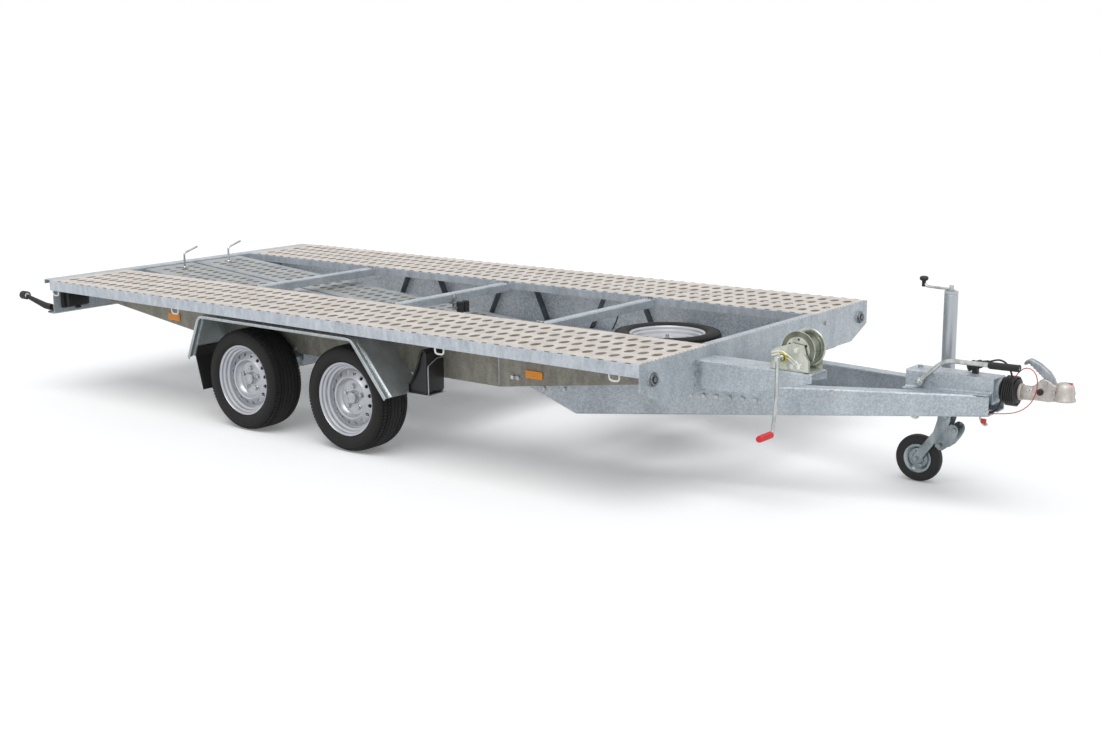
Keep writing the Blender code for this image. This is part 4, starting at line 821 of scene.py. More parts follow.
# Vulcanised rubber: near black and matt, with a brown film of road dust on the sidewalls.
rubber_skin = black_rubber("tyre_rubber", "08080A", 0.80, "1B1916", 0.25)
TYRE, GROOVE = 0.2625, 0.0053
crown = TYRE - GROOVE - 0.0002
half_tread = [(crown, 0.01), (crown, 0.013), (crown, 0.034), (crown, 0.037),
              (crown - 0.0008, 0.054), (crown - 0.001, 0.057), (crown - 0.006, 0.079),
              (crown - 0.012, 0.087), (crown - 0.024, 0.0935), (crown - 0.026, 0.0925),
              (crown - 0.04, 0.0972), (crown - 0.054, 0.095), (crown - 0.06, 0.0925),
              (RIM + 0.006, 0.086), (RIM + 0.0006, 0.078), (RIM - 0.0085, 0.072)]
tyre_master = turned("tyre_master", both_sides(half_tread), 96)
edit(tyre_master, "FACE")
for low, high, cut in ((-0.01, 0.01, 0.0), (0.013, 0.034, 0.0), (-0.034, -0.013, 0.0),
                       (0.037, 0.054, 0.0012), (-0.054, -0.037, 0.0012),
                       (0.057, 0.087, 0.0015), (-0.087, -0.057, 0.0015)):
    choose(tyre_master, lambda spot, n: low < spot.z < high and math.hypot(spot.x, spot.y) > 0.24
           and math.hypot(n.x, n.y) > 0.5)
    if cut:
        bpy.ops.mesh.inset(thickness=cut, use_individual=True, use_boundary=True)
    bpy.ops.mesh.extrude_region_shrink_fatten(TRANSFORM_OT_shrink_fatten={"value": GROOVE})
bpy.ops.object.mode_set(mode="OBJECT")

for end, x in (("rear", 1.581), ("front", 2.33)):
    for name, side in SIDES:
        place = aimed(at(x, side * WHEEL_Y, TYRE), (0, side, 0))
        body = f"wheel_{end}_{name}"
        rim = settle(copied(rim_master, place), f"steel_rim_{end}_{name}", silver, body,
                     32)
        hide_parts(f"rim_{end}_{name}")
        settle(copied(hub_master, place), f"hub_{end}_{name}", bright_zinc, body)
        tyre = settle(copied(tyre_master, place), f"road_tyre_{end}_{name}", rubber_skin,
                      body, 32)
        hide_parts(f"tyre_{end}_{name}")
SPARE_X, SPARE_TOP, HALF_WIDTH = 3.57, 0.598, 0.0975
place = Matrix.Translation(at(SPARE_X, 0, SPARE_TOP - HALF_WIDTH))
rim = settle(copied(rim_master, place), "spare_steel_rim", silver, "chassis", 32)
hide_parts("spare_rim")
tyre = settle(copied(tyre_master, place), "spare_road_tyre", rubber_skin, "chassis",
              32)
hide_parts("spare_tyre")
discard(rim_master, hub_master, tyre_master)
dress(bright_zinc, "spare_carrier")
spare_nut = hexagon("nut", 0.024, 0.014, 0.018)
spare_nut.matrix_world = Matrix.Translation(at(SPARE_X, 0, 0.5445)) @ spare_nut.matrix_world
settle(spare_nut, "spare_clamp_nut", bright_zinc)

# Mudguards, flaps and chocks
# Each guard is a pressed galvanised sheet over both wheels, its outer edge stiffened by two
# rolled beads with a knurled strip between them. The flap is rubber and the chock is black
# moulded plastic in a zinc clip.
GUARD_LINE = ((1.205, 0.348), (1.305, 0.578), (2.43, 0.578), (2.65, 0.317))
STAMP_STEP, STAMP_INSET = 0.011, 0.035
# Guard zinc lightened on the rolled beads and knurled strip as a painted highlight: a pale shine
# with small crystals.
bead_highlight_skin = zinc_skin("rolled_bead_zinc_painted_highlight", "DADFE0", "AEB5B7", 0.004, 0.28, 0.75, 0.05, 0.12)
# Moulded rubber sheet: black, slightly softer in its shine than the tyres.
flap_skin = black_rubber("flap_rubber", "141415", 0.62, "262422")
# Moulded polypropylene: black with a low sheen and hardly any dust.
chock_skin = black_rubber("moulded_black_plastic", "151617", 0.42, "232323", 0.2)
stamp = block("stamp", (DECK_ORIGIN - 0.0022, -0.008, -0.001),
              (DECK_ORIGIN + 0.0022, 0.008, 0.001), 0.0006, 1)
for name, side in SIDES:
    beads = [pipe("bead", [(x, side * across, z) for x, z in GUARD_LINE], radius, 1, corner=0.04)
             for across, radius in ((0.9885, 0.0032), (0.964, 0.0026), (0.948, 0.0026))]
    stamps = []
    for start, end in zip(GUARD_LINE, GUARD_LINE[1:]):
        low, high = Vector((start[0], 0, start[1])), Vector((end[0], 0, end[1]))
        length = (high - low).length
        tilt = Matrix.Rotation(-math.atan2(high.z - low.z, high.x - low.x), 4, "Y")
        for step in range(int((length - 2 * STAMP_INSET) / STAMP_STEP)):
            spot = low.lerp(high, (STAMP_INSET + STAMP_STEP * step) / length)
            stamps.append(copied(stamp, Matrix.Translation(
                at(spot.x, side * 0.9765, spot.z)) @ tilt))
    settle(joined(*beads, *stamps), f"guard_beads_{name}", bead_highlight_skin, smooth=50)
discard(stamp)
dress(flap_skin, "mud_flap_left", "mud_flap_right")

wall = 0.7446  # the chock's inner face
for name, side in SIDES:
    outline = [(2.68, 0.33), (2.79, 0.33), (2.80, 0.345), (2.80, 0.53), (2.78, 0.55),
               (2.765, 0.532), (2.748, 0.48), (2.735, 0.445), (2.716, 0.41), (2.696, 0.385),
               (2.68, 0.37)]
    core = slab("core", outline, side * wall, side * (wall + 0.122), 0.003)
    edit(core, "FACE")
    choose(core, lambda spot, n: abs(n.y) > 0.9)
    bpy.ops.mesh.inset(thickness=0.006)
    bpy.ops.mesh.extrude_region_shrink_fatten(TRANSFORM_OT_shrink_fatten={"value": -0.01})
    bpy.ops.object.mode_set(mode="OBJECT")
    ribs = [pipe("rib", [(x, side * (wall + 0.004), z), (x, side * (wall + 0.118), z)], 0.0042)
            for x, z in ((2.688, 0.378), (2.706, 0.398), (2.726, 0.428), (2.742, 0.462),
                         (2.757, 0.507), (2.772, 0.541))]
    settle(joined(core, *ribs), f"chock_wedge_{name}", chock_skin,
           smooth=40, mend=True)
    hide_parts(f"wheel_chock_{name}")
    clip = joined(
        pipe("wire", [(2.804, side * 0.746, 0.50), (2.806, side * 0.80, 0.50),
                      (2.806, side * 0.862, 0.47), (2.806, side * 0.862, 0.327),
                      (2.69, side * 0.862, 0.327)], 0.003, corner=0.012),
        block("tab", (2.668, side * 0.7445, 0.3255), (2.808, side * 0.866, 0.3297), 0.001))
    settle(clip, f"chock_clip_{name}", guard_zinc)

# Side reflectors
# Amber moulded prisms, four to the trailer, screwed to the side members' webs. Each has ten
# upright facets in a raised frame.
CLOUD_SIZE = 1 / 60.0  # metres


def moulded(name, code, rough, deep, share, coat=0.4):
    """Glossy moulded plastic: one clear colour, with a share of a deeper one in clouds."""
    made, tree, shader, place = new_skin(name, {"Roughness": rough, "Coat Weight": coat})
    cloud = add_node(tree, "ShaderNodeTexNoise", None, {"Scale": 1 / CLOUD_SIZE, "Detail": 3.0},
                     {"Vector": place})
    shade, full = Vector(linear(deep)[:3]), Vector(linear(code)[:3])
    ramp = add_node(tree, "ShaderNodeValToRGB", None, None, {0: cloud.outputs["Fac"]})
    for stop, reach, blend in zip(ramp.color_ramp.elements, (0.30, 0.65), (share * 2, 0.0)):
        stop.position, stop.color = reach, (*full.lerp(shade, blend), 1)
    tree.links.new(ramp.outputs["Color"], shader.inputs["Base Color"])
    return made


# Amber acrylic: a strong warm orange that stays even, with a soft gloss.
amber = moulded("amber_reflector", "F79A00", 0.30, "B86A00", 0.15, 0.15)
# Red acrylic over a dark lamp: a deep red under a hard gloss.
red_lens = moulded("red_lens", "C8141C", 0.15, "5A0408", 0.25)
# Clear acrylic over a white cup: pale grey with painted shadows in small clouds of deeper grey,
# and sharp highlights.
clear_lens = moulded("clear_lens", "E9EDF0", 0.10, "9AA2A8", 0.25)
FACETS, FACET_STEP = 10, 0.0085
for name, side in SIDES:
    for number, (rear, front, low, high) in enumerate(((0.75, 0.847, 0.468, 0.508),
                                                       (3.302, 3.398, 0.458, 0.494)), start=1):
        prism = block("prism", (rear, side * 0.7442, low), (front, side * 0.75, high), 0.002)
        edit(prism, "FACE")
        choose(prism, lambda spot, n: n.y * side > 0.9)
        bpy.ops.mesh.inset(thickness=0.004)
        bpy.ops.transform.translate(value=(0, side * -0.0012, 0))
        bpy.ops.object.mode_set(mode="OBJECT")
        grid = [block("facet", (rear + 0.006 + FACET_STEP * step, side * 0.7485, low + 0.006),
                      (rear + 0.0135 + FACET_STEP * step, side * 0.7498, high - 0.006), 0.0005,
                      1) for step in range(FACETS)]
        settle(joined(prism, *grid), f"side_reflector_{number}_{name}", amber)

# Lamps
# The rear lamps are black plastic boxes set through the rear cross member, with a ribbed
# lens in three fields. Marker lamps stand out on tapered rubber arms, white to the front
# and red to the rear.

# Moulded ABS: black with a satin shine, only a little dusty.
lamp_black = black_rubber("lamp_housing_plastic", "101112", 0.38, "1E1E1E", 0.2)
FLUTES, FLUTE_STEP = 10, 0.009
for name, side in SIDES:
    y0, y1 = sorted((side * 0.7776, side * 0.9424))
    case = joined(block("case", (0.002, y0, 0.4906), (0.05, y1, 0.5974), 0.004),
                  block("back", (0.048, y0 + 0.012, 0.50), (0.085, y1 - 0.012, 0.588), 0.006),
                  block("gland", (0.06, side * 0.86 - 0.014, 0.485),
                        (0.082, side * 0.86 + 0.014, 0.501), 0.003))
    settle(case, f"lamp_case_{name}", lamp_black)
    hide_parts(f"rear_lamp_{name}")
    for field, (low, high, glass) in {"stop": (0, 0.45, red_lens), "turn": (0.45, 0.8, amber),
                                      "plate": (0.8, 1.0, clear_lens)}.items():
        y0, y1 = sorted(side * (0.7815 + 0.157 * share) for share in (low, high))
        z0, z1 = 0.4945, 0.5935
        lens = [block("lens", (-0.0055, y0 + 0.0008, z0), (0.003, y1 - 0.0008, z1), 0.002)]
        lens += [block("flute", (-0.0065, y0 + 0.003, z0 + 0.006 + FLUTE_STEP * step),
                       (-0.005, y1 - 0.003, z0 + 0.0115 + FLUTE_STEP * step), 0.0006, 1)
                 for step in range(FLUTES)]
        settle(joined(*lens), f"lamp_lens_{field}_{name}", glass)
    head_at = at(-0.19, side * 1.03, 0.556)
    arm = pipe("arm", [(0.008, side * 0.994, 0.50), (-0.03, side * 1.008, 0.508),
                       (-0.11, side * 1.019, 0.532), (-0.172, side * 1.0285, 0.551)], 0.01, 3,
               widths=[1.9, 1.8, 1.45, 1.15])
    head = turned("head", [(0, 0.02), (0.0165, 0.02), (0.0175, 0.0225), (0.0231, 0.0225),
                           (0.0236, 0.018), (0.0236, -0.018), (0.0231, -0.0225),
                           (0.0175, -0.0225), (0.0165, -0.02), (0, -0.02)], 32, head_at,
                  (1, 0, 0))
    plinth = block("plinth", (-0.012, side * 0.9905, 0.482), (0.026, side * 0.9965, 0.518), 0.002)
    marker = settle(joined(arm, head, plinth), f"marker_arm_{name}", flap_skin,
                    smooth=45, mend=True)
    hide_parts(f"marker_lamp_{name}")
    for way, tint, glass in ((1, "white", clear_lens), (-1, "red", red_lens)):
        rings = [(0, 0.0223), (0.004, 0.0223), (0.005, 0.0213), (0.008, 0.0221), (0.009, 0.021),
                 (0.012, 0.0218), (0.013, 0.0207), (0.0163, 0.0213), (0.0163, 0.0195), (0, 0.0195)]
        settle(turned("lens", rings, 28, head_at, (way, 0, 0)),
               f"marker_lens_{tint}_{name}", glass, smooth=25)

# Rubber rollers
# Two ribbed black rollers hang on a zinc bracket under the middle cross member, where the
# ramps' front ends are guided.
rollers = []
for side in (-1, 1):
    barrel = [(0, 0.03), (0.0165, 0.03), (0.0195, 0.027), (0.02, 0.02)]
    for height in (0.014, 0.004, -0.006, -0.016):
        barrel += [(0.02, height), (0.0185, height - 0.002), (0.0185, height - 0.004),
                   (0.02, height - 0.006)]
    barrel += [(0.0195, -0.027), (0.0165, -0.03), (0, -0.03)]
    rollers.append(turned("roller", barrel, 32, at(2.267, side * 0.022, 0.585)))
rollers = settle(joined(*rollers), "rubber_rollers", flap_skin, smooth=30)
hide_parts("rubber_buffers")
settle(joined(block("arm", (2.2054, -0.012, 0.5955), (2.268, 0.012, 0.6015), 0.001),
              block("plate", (2.2054, -0.016, 0.56), (2.2094, 0.016, 0.649), 0.001),
              pipe("pin", [(2.267, -0.046, 0.585), (2.267, 0.046, 0.585)], 0.004)),
       "roller_bracket", bright_zinc)

# Winch
# Two pressed cheeks, plated olive-green, carry a drum between dished discs. The crank turns
# a pinion in a brass-yellow bush, and ends in a red ribbed grip.

# Olive chromate over zinc plate: a faint green yellow in a smooth metal shine.
olive_zinc = zinc_skin("olive_passivated_zinc", "D2D5CA", "A2A69A", 0.03, 0.26, 0.72, 0.06, 0.06,
                       0.02)
CHEEK_Y = -0.56  # the outer cheek's outer face
DRUM_X, DRUM_Y, DRUM_Z = 4.578, -0.504, 0.70
PINION_X, PINION_Z = 4.515, 0.664
CHEEK = [(4.455, 0.614), (4.64, 0.614), (4.64, 0.66), (4.622, 0.69), (4.612, 0.724),
         (4.56, 0.729), (4.48, 0.70), (4.459, 0.69), (4.455, 0.67)]
# Olive plate lightened nearly to white as a painted highlight, so that the pressed ridges and nuts
# stand out.
ridge_highlight_zinc = zinc_skin("ridge_plate_painted_highlight", "F0F1EA", "C4C6BC", 0.03, 0.30, 0.55, 0.06, 0.05,
                        0.02)
cheeks = [slab("cheek", CHEEK, y0, y0 + SHEET, 0.0008) for y0 in (CHEEK_Y, -0.451)]
base = block("base", (4.455, -0.5595, 0.6105), (4.64, -0.4485, 0.6145), 0.001)
ridges = [pipe("ridge", [(4.463, CHEEK_Y, 0.68 - drop), (4.50, CHEEK_Y, 0.693 - drop),
                         (4.545, CHEEK_Y, 0.672 - drop), (4.605, CHEEK_Y, 0.63 - drop)],
               0.004, corner=0.03) for drop in (0.0, 0.012)]
flange = slab("flange", [(4.612, 0.616), (4.64, 0.616), (4.64, 0.662), (4.622, 0.69)],
              CHEEK_Y, CHEEK_Y - 0.014, 0.001)
shaft = pipe("shaft", [(DRUM_X, -0.568, DRUM_Z), (DRUM_X, -0.4405, DRUM_Z)], 0.0078, 3)
nuts = [bolt(at(x, y, z), (0, way, 0))
        for x, y, z, way in ((DRUM_X, -0.5605, DRUM_Z, -1), (DRUM_X, -0.4475, DRUM_Z, 1),
                             (4.56, CHEEK_Y, 0.632, -1), (4.592, CHEEK_Y, 0.634, -1),
                             (4.47, -0.448, 0.64, 1), (4.60, -0.448, 0.64, 1))]
winch = settle(joined(*cheeks, base, flange, shaft), "winch_cheeks", olive_zinc,
               smooth=40, mend=True)
settle(joined(*ridges, *nuts), "winch_ridges", ridge_highlight_zinc, smooth=40)
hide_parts("winch_frame")
# Turned brass: a clear warm yellow with a fine tool grain.
brass = zinc_skin("yellow_brass_bush", "E6DE7A", "BFB04A", 0.002, 0.3, 0.7, 0.02, 0.1)
settle(turned("bush", [(0.016, 0.01), (0.02, 0.01), (0.0212, 0.008), (0.0212, 0.0003),
                       (0.016, 0.0003)], 28, at(PINION_X, CHEEK_Y, PINION_Z), (0, -1, 0)),
       "winch_bush", brass)
disc = [(0.0088, 0.05), (0.016, 0.05), (0.017, 0.047), (0.055, 0.047), (0.061, 0.0435),
        (0.0745, 0.043), (0.077, 0.0455), (0.0795, 0.046), (0.08, 0.044), (0.0785, 0.042),
        (0.075, 0.0405), (0.0605, 0.041), (0.0545, 0.0445), (0.03, 0.0445)]
drum = turned("drum", both_sides(disc), 48, at(DRUM_X, DRUM_Y, DRUM_Z), (0, -1, 0))
# The same olive plate in the discs' pressed ring, darkened as painted shade: dark and dull.
recess_skin = zinc_skin("shaded_olive_recess", "83887A", "5C6155", 0.03, 0.40, 0.55, 0.06, 0.06,
                        0.02)
for skin in (olive_zinc, recess_skin):  # two places for settle
    drum.data.materials.append(skin)
edit(drum, "FACE")
faced(drum, 1, lambda spot, n: 0.0555 < math.hypot(spot.x, spot.y) < 0.0748
      and abs(spot.z) > 0.0425)
bpy.ops.object.mode_set(mode="OBJECT")
# The holes in the discs are painted shade: thin black discs lie on the disc faces where the
# openings are.
HOLE_CIRCLE = 0.044
holes = [turned("hole", [(0, 0.0006), (0.005, 0.0006), (0.005, -0.0006), (0, -0.0006)], 16,
                at(DRUM_X + HOLE_CIRCLE * math.cos(turn), DRUM_Y - way * 0.047,
                   DRUM_Z + HOLE_CIRCLE * math.sin(turn)), (0, -way, 0))
         for turn in (0.5, 1.5, 2.6, 4.8) for way in (-1, 1)]
settle(joined(*holes), "reel_holes_painted_shade", chock_skin, "drum")
drum = settle(drum, "winch_reel", (olive_zinc, recess_skin), "drum", 30)
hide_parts("winch_drum")
HAND_X, HAND_Z = 4.527, 0.359
crank_line = [(PINION_X, -0.575, PINION_Z), (PINION_X, -0.604, PINION_Z),
              (4.519, -0.612, 0.52), (4.523, -0.63, 0.44), (HAND_X, -0.654, HAND_Z),
              (HAND_X, -0.765, HAND_Z)]
crank = pipe("crank", crank_line, 0.0082, 3, corner=0.014)
boss = turned("boss", [(0, 0.022), (0.011, 0.022), (0.013, 0.02), (0.0135, 0.0005),
                       (0, 0.0005)], 28, at(PINION_X, CHEEK_Y, PINION_Z), (0, -1, 0))
crank = settle(joined(crank, boss, bolt(at(PINION_X, -0.606, PINION_Z), (0, -1, 0))),
               "winch_crank_arm", rod_skin, "crank", 50)
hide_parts("winch_crank")
GRIP_STEP = 0.0085
grip = [(0.0083, 0), (0.0134, 0.0)]
for step in range(11):
    grip += [(0.0148, 0.002 + GRIP_STEP * step), (0.0148, 0.007 + GRIP_STEP * step),
             (0.0134, GRIP_STEP * (step + 1))]
grip += [(0.0122, 0.1005), (0, 0.101), (0, 0.099), (0.0083, 0.099)]
# Moulded soft PVC: a flat bright red with next to no gloss.
red_grip = moulded("red_ribbed_grip", "DB2430", 0.45, "8E0E18", 0.15, 0.1)
settle(turned("grip", grip, 32, at(HAND_X, -0.665, HAND_Z), (0, -1, 0)), "crank_grip",
       red_grip, "crank", 25)

# Overrun coupling
# A cast head clamps on the shaft that slides in the housing. The latch handle is pressed
# zinc-plated steel, and a folded rubber boot keeps the shaft clean.

# Zinc-coated casting: warm pale grey with the skin of a sand mould, half matt.
cast_metal = zinc_skin("pale_cast_steel", "D3CDC7", "A69F99", 0.003, 0.50, 0.45, 0.03, 0.15, 0.35)
# Moulded rubber bellows: black, satin on its folds.
boot_skin = black_rubber("boot_rubber", "121213", 0.55, "242322")
BALL_X, COUPLING_Z = 5.49, 0.522
dress(bright_zinc, "coupling_shaft")
folds = [(0.0253, 0.0735)]
for fold in range(3, -1, -1):
    crest = 0.0555 - max(0, fold - 2) * 0.004
    start = fold * 0.0185
    folds += [(crest - 0.011, start + 0.017), (crest - 0.0015, start + 0.012),
              (crest, start + 0.0092), (crest - 0.0015, start + 0.0065),
              (crest - 0.011, start + 0.0015)]
folds += [(0.0253, 0.0)]
boot = settle(turned("boot", folds, 40, at(5.2313, 0, COUPLING_Z), (1, 0, 0)),
              "rubber_boot", boot_skin, smooth=45)
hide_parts("bellows")
neck = turned("neck", [(0, 0), (0.027, 0), (0.03, 0.003), (0.03, 0.04), (0.027, 0.048),
                       (0.027, 0.09), (0.024, 0.10), (0, 0.10)], 32,
              at(5.3165, 0, COUPLING_Z), (1, 0, 0))
body = slab("body", [(BALL_X + u, COUPLING_Z + v) for u, v in (
    (-0.145, -0.019), (-0.118, 0.038), (-0.092, 0.066), (-0.078, 0.07), (-0.058, 0.064),
    (-0.034, 0.048), (0.00, 0.05), (0.00, -0.012), (-0.06, -0.024), (-0.10, -0.02))],
            -0.026, 0.026, 0.006, 4)
cup = turned("cup", [(0, 0.061), (0.014, 0.061), (0.026, 0.058), (0.034, 0.051), (0.038, 0.04),
                     (0.04, 0.026), (0.04, 0.00), (0.044, -0.005), (0.045, -0.009),
                     (0.0445, -0.0138), (0.0262, -0.0138), (0.0258, 0.008), (0.02, 0.026),
                     (0.012, 0.032), (0, 0.033)], 40, at(BALL_X, 0, COUPLING_Z))
nose = slab("nose", [(5.498, 0.583), (5.523, 0.56), (5.533, 0.545), (5.53, 0.535),
                     (5.498, 0.53)], -0.01, 0.01, 0.003)
collar = turned("collar", [(0.0255, 0), (0.034, 0), (0.035, 0.002), (0.035, 0.01), (0.034, 0.012),
                           (0.0255, 0.012)], 32, at(5.306, 0, COUPLING_Z), (1, 0, 0))
head = settle(joined(body, neck, cup, nose, collar), "cast_head", cast_metal,
              smooth=45)
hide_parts("coupling_head")
rivets = [bolt(at(x, side * 0.0262, z), (0, side, 0), 0.7)
          for x, z in ((5.421, 0.577), (5.456, 0.545), (5.35, 0.54)) for side in (-1, 1)]
settle(joined(*rivets), "head_bolts", bright_zinc)
settle(block("mark", (BALL_X + 0.012, -0.007, COUPLING_Z + 0.056),
             (BALL_X + 0.03, 0.007, COUPLING_Z + 0.062), 0.0015), "wear_indicator", red_grip)
settle(turned("knob", [(0, 0.012), (0.008, 0.012), (0.012, 0.01), (0.0135, 0.006), (0.0135, 0),
                       (0, 0)], 28, at(5.40, -0.0262, 0.537), (0, -1, 0)), "pivot_knob",
       chock_skin)
handle_line = [(5.456, 0.5625), (5.446, 0.593), (5.426, 0.619), (5.39, 0.646), (5.36, 0.661),
               (5.343, 0.666), (5.326, 0.655), (5.32, 0.641), (5.33, 0.638), (5.343, 0.646),
               (5.382, 0.614), (5.412, 0.588), (5.424, 0.5625)]
handle = slab("handle", handle_line, -0.015, 0.015, 0.0035, 3)
teeth = [pipe("tooth", [(x, -0.0152, z), (x, 0.0152, z)], 0.0026, 1)
         for x, z in ((5.352, 0.64), (5.364, 0.63), (5.376, 0.6195), (5.388, 0.61),
                      (5.40, 0.599))]
# Zinc plate on deep-drawn steel: a middle grey metal, its shine broken by fine marks.
latch_zinc = zinc_skin("pressed_latch_zinc", "B4BABF", "80878D", 0.003, 0.32, 0.75, 0.03, 0.15)
handle = settle(joined(handle, *teeth), "latch_handle", latch_zinc, smooth=40,
                mend=True)
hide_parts("coupling_handle")

# Handbrake lever
# A bent zinc-plated tube pivots on the housing's right wall. It ends in a black ribbed grip,
# moulded and pushed on.
PIVOT_X, PIVOT_Z, LEVER_Y = 4.90, 0.528, -0.0803
lever = pipe("lever", [(PIVOT_X, LEVER_Y, PIVOT_Z), (5.008, LEVER_Y, 0.632),
                       (5.33, LEVER_Y, 0.6345)], 0.01, 3, corner=0.045)
boss = turned("boss", [(0, 0.028), (0.015, 0.028), (0.0178, 0.026), (0.0178, 0), (0, 0)], 28,
              at(PIVOT_X, -0.0605, PIVOT_Z), (0, -1, 0))
lever = settle(joined(lever, boss, bolt(at(PIVOT_X, -0.0885, PIVOT_Z), (0, -1, 0))),
               "brake_lever", rod_skin, smooth=50)
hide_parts("handbrake_lever")
LEVER_GRIP_STEP = 0.009
grip = [(0.0096, 0), (0.012, 0.0), (0.014, 0.004)]
for step in range(13):
    grip += [(0.015, 0.006 + LEVER_GRIP_STEP * step), (0.015, 0.0115 + LEVER_GRIP_STEP * step),
             (0.014, 0.013 + LEVER_GRIP_STEP * step)]
grip += [(0.016, 0.126), (0.015, 0.131), (0.0096, 0.132)]
settle(turned("grip", grip, 28, at(5.20, LEVER_Y, 0.6335), (1, 0, 0.008)), "lever_grip",
       flap_skin, smooth=25)

# Electric cable and breakaway cable
# The black PVC cable comes out of the right beam's nose, is wound five times round the boot
# and goes up to its plug, parked on the housing. The red breakaway cable is a steel strand
# in vinyl, from the brake linkage round the head to the latch.

# Extruded PVC sheath: smooth black with a soft shine along each turn.
cable_skin = black_rubber("black_pvc_cable", "0E0E0F", 0.45, "1E1E1E", 0.2)
COIL_X, COIL_R, COIL_PITCH, COIL_TURNS, TURN_STEPS = 5.253, 0.0605, 0.0088, 5, 12
route = [(5.20, -0.05, 0.43), (5.218, -0.0535, 0.435), (5.233, -0.057, 0.446),
         (5.244, -0.0592, 0.464), (5.25, -0.0602, 0.484), (5.2525, -0.0605, 0.504)]
for step in range(COIL_TURNS * TURN_STEPS + 1):
    turn = 2 * math.pi * step / TURN_STEPS
    route.append((COIL_X + COIL_PITCH * step / TURN_STEPS, -COIL_R * math.cos(turn),
                  COUPLING_Z + COIL_R * math.sin(turn)))
free_x = COIL_X + COIL_PITCH * COIL_TURNS
for back, y, up in ((0, -0.0605, 0.02), (0.001, -0.0595, 0.04), (0.004, -0.0565, 0.06),
                    (0.01, -0.0515, 0.08), (0.02, -0.044, 0.098), (0.034, -0.034, 0.111),
                    (0.051, -0.022, 0.119), (0.07, -0.009, 0.122), (0.089, 0.004, 0.1205),
                    (0.107, 0.014, 0.1155), (0.1247, 0.0195, 0.109), (0.1371, 0.02, 0.1044)):
    route.append((free_x - back, y, COUPLING_Z + up))
route = [at(*spot) for spot in route]
cable = threaded_curve("electric_lead", route, 0.004, 4)
cable.data.materials.append(cable_skin)
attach(cable, "chassis")
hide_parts("cable_coil", "electric_cable")
tail = at(free_x - 0.1377, 0.02, COUPLING_Z + 0.1041)
along = Vector((-0.94, 0, -0.34)).normalized()
plug = turned("plug", [(0, 0), (0.007, 0), (0.0085, 0.004), (0.0085, 0.01), (0.01, 0.012),
                       (0.01, 0.018), (0.0112, 0.02), (0.0112, 0.028), (0.0165, 0.031),
                       (0.018, 0.036), (0.018, 0.058), (0.022, 0.06), (0.023, 0.062),
                       (0.023, 0.07), (0.022, 0.072), (0.018, 0.073), (0.018, 0.091),
                       (0.017, 0.092), (0, 0.092)], 36, tail, along)
RIBS, CAP = 12, 0.018  # the plug's cap and the finger ribs round it
wings = []
for step in range(RIBS):
    turn = step * 2 * math.pi / RIBS
    foot = tail + Vector((DECK_ORIGIN, CAP * math.cos(turn), CAP * math.sin(turn)))
    wings.append(pipe("rib", [foot + along * 0.074, foot + along * 0.09], 0.0016, 1))
foot = block("foot", (5.0925, 0.008, 0.5715), (5.1165, 0.032, 0.598), 0.002)
plug = settle(joined(plug, foot, *wings), "parked_plug", chock_skin,
              smooth=40)
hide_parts("electric_plug")
length = sum((b - a).length for a, b in zip(route, route[1:]))

# Vinyl drawn over a steel strand: a clear red with a soft shine.
red_vinyl = moulded("red_vinyl_cable", "C8202E", 0.35, "7A0A14", 0.15, 0.2)
loop = [(x, -(beam_face(x) - 0.0073), COUPLING_Z - 0.091) for x in (5.17, 5.182, 5.194)]
for u, v, w in ((-.003, -.0785, -.0908), (.012, -.0755, -.09), (.03, -.073, -.088),
                (.048, -.072, -.0858), (.066, -.0715, -.0832), (.085, -.0715, -.0795),
                (.104, -.0715, -.074), (.122, -.0715, -.066), (.14, -.0715, -.055),
                (.156, -.0715, -.041), (.17, -.071, -.024), (.18, -.0705, -.005),
                (.187, -.07, .015), (.191, -.0695, .035), (.192, -.069, .055),
                (.19, -.068, .074), (.184, -.066, .091), (.173, -.0635, .105),
                (.158, -.0605, .113), (.141, -.057, .114), (.125, -.053, .108),
                (.111, -.048, .097), (.099, -.042, .083), (.088, -.034, .0695),
                (.074, -.0255, .0612)):
    loop.append((5.21 + u, v, COUPLING_Z + w))
loop = [at(*spot) for spot in loop]
strand = threaded_curve("breakaway_strand", loop, 0.002, 3)
strand.data.materials.append(red_vinyl)
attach(strand, "chassis")
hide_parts("breakaway_cable")
length = sum((b - a).length for a, b in zip(loop, loop[1:]))

# Safety hooks
# Two bent hooks are bolted under the right beam, for the tow car's chains. The front one
# has a red plastic latch.
hooks = []
for x, base, low in ((4.90, 0.4005, 0.016), (5.172, 0.4205, 0.043)):
    y = -(beam_face(x) - 0.014)
    hooks.append(pipe("hook", [(x, y, base + 0.004), (x + 0.006, y, base - low * 0.5),
                               (x + 0.022, y + 0.004, base - low),
                               (x + 0.034, y + 0.006, base - low + 0.008)],
                      0.0052, corner=0.008))
settle(joined(*hooks), "safety_hooks", olive_zinc, smooth=50)
settle(block("latch", (5.181, -0.09, 0.388), (5.203, -0.079, 0.408), 0.002), "hook_latch",
       red_vinyl)

# Jockey wheel
# A steel tube in a clamp on the left beam holds a screw jack. The crank on top ends in a
# black mushroom knob, and a pressed fork below trails a wheel with a solid rubber tyre.
JACK_X, JACK_Y = 4.89, 0.235
AXLE_X, AXLE_Z = 4.773, 0.1075
# Drawn tube, plated: the brightest metal here, with broad quiet reflections down its length.
tube_zinc = zinc_skin("drawn_tube_zinc", "BABFC4", "A3A9AE", 0.40, 0.28, 0.78, 0.30, 0.02, 0.02)
# Plated pressings: a middle grey metal that shows the dark ground.
fork_zinc = zinc_skin("pressed_fork_zinc", "A9B2B5", "737D82", 0.03, 0.28, 0.75, 0.05, 0.06, 0.02)
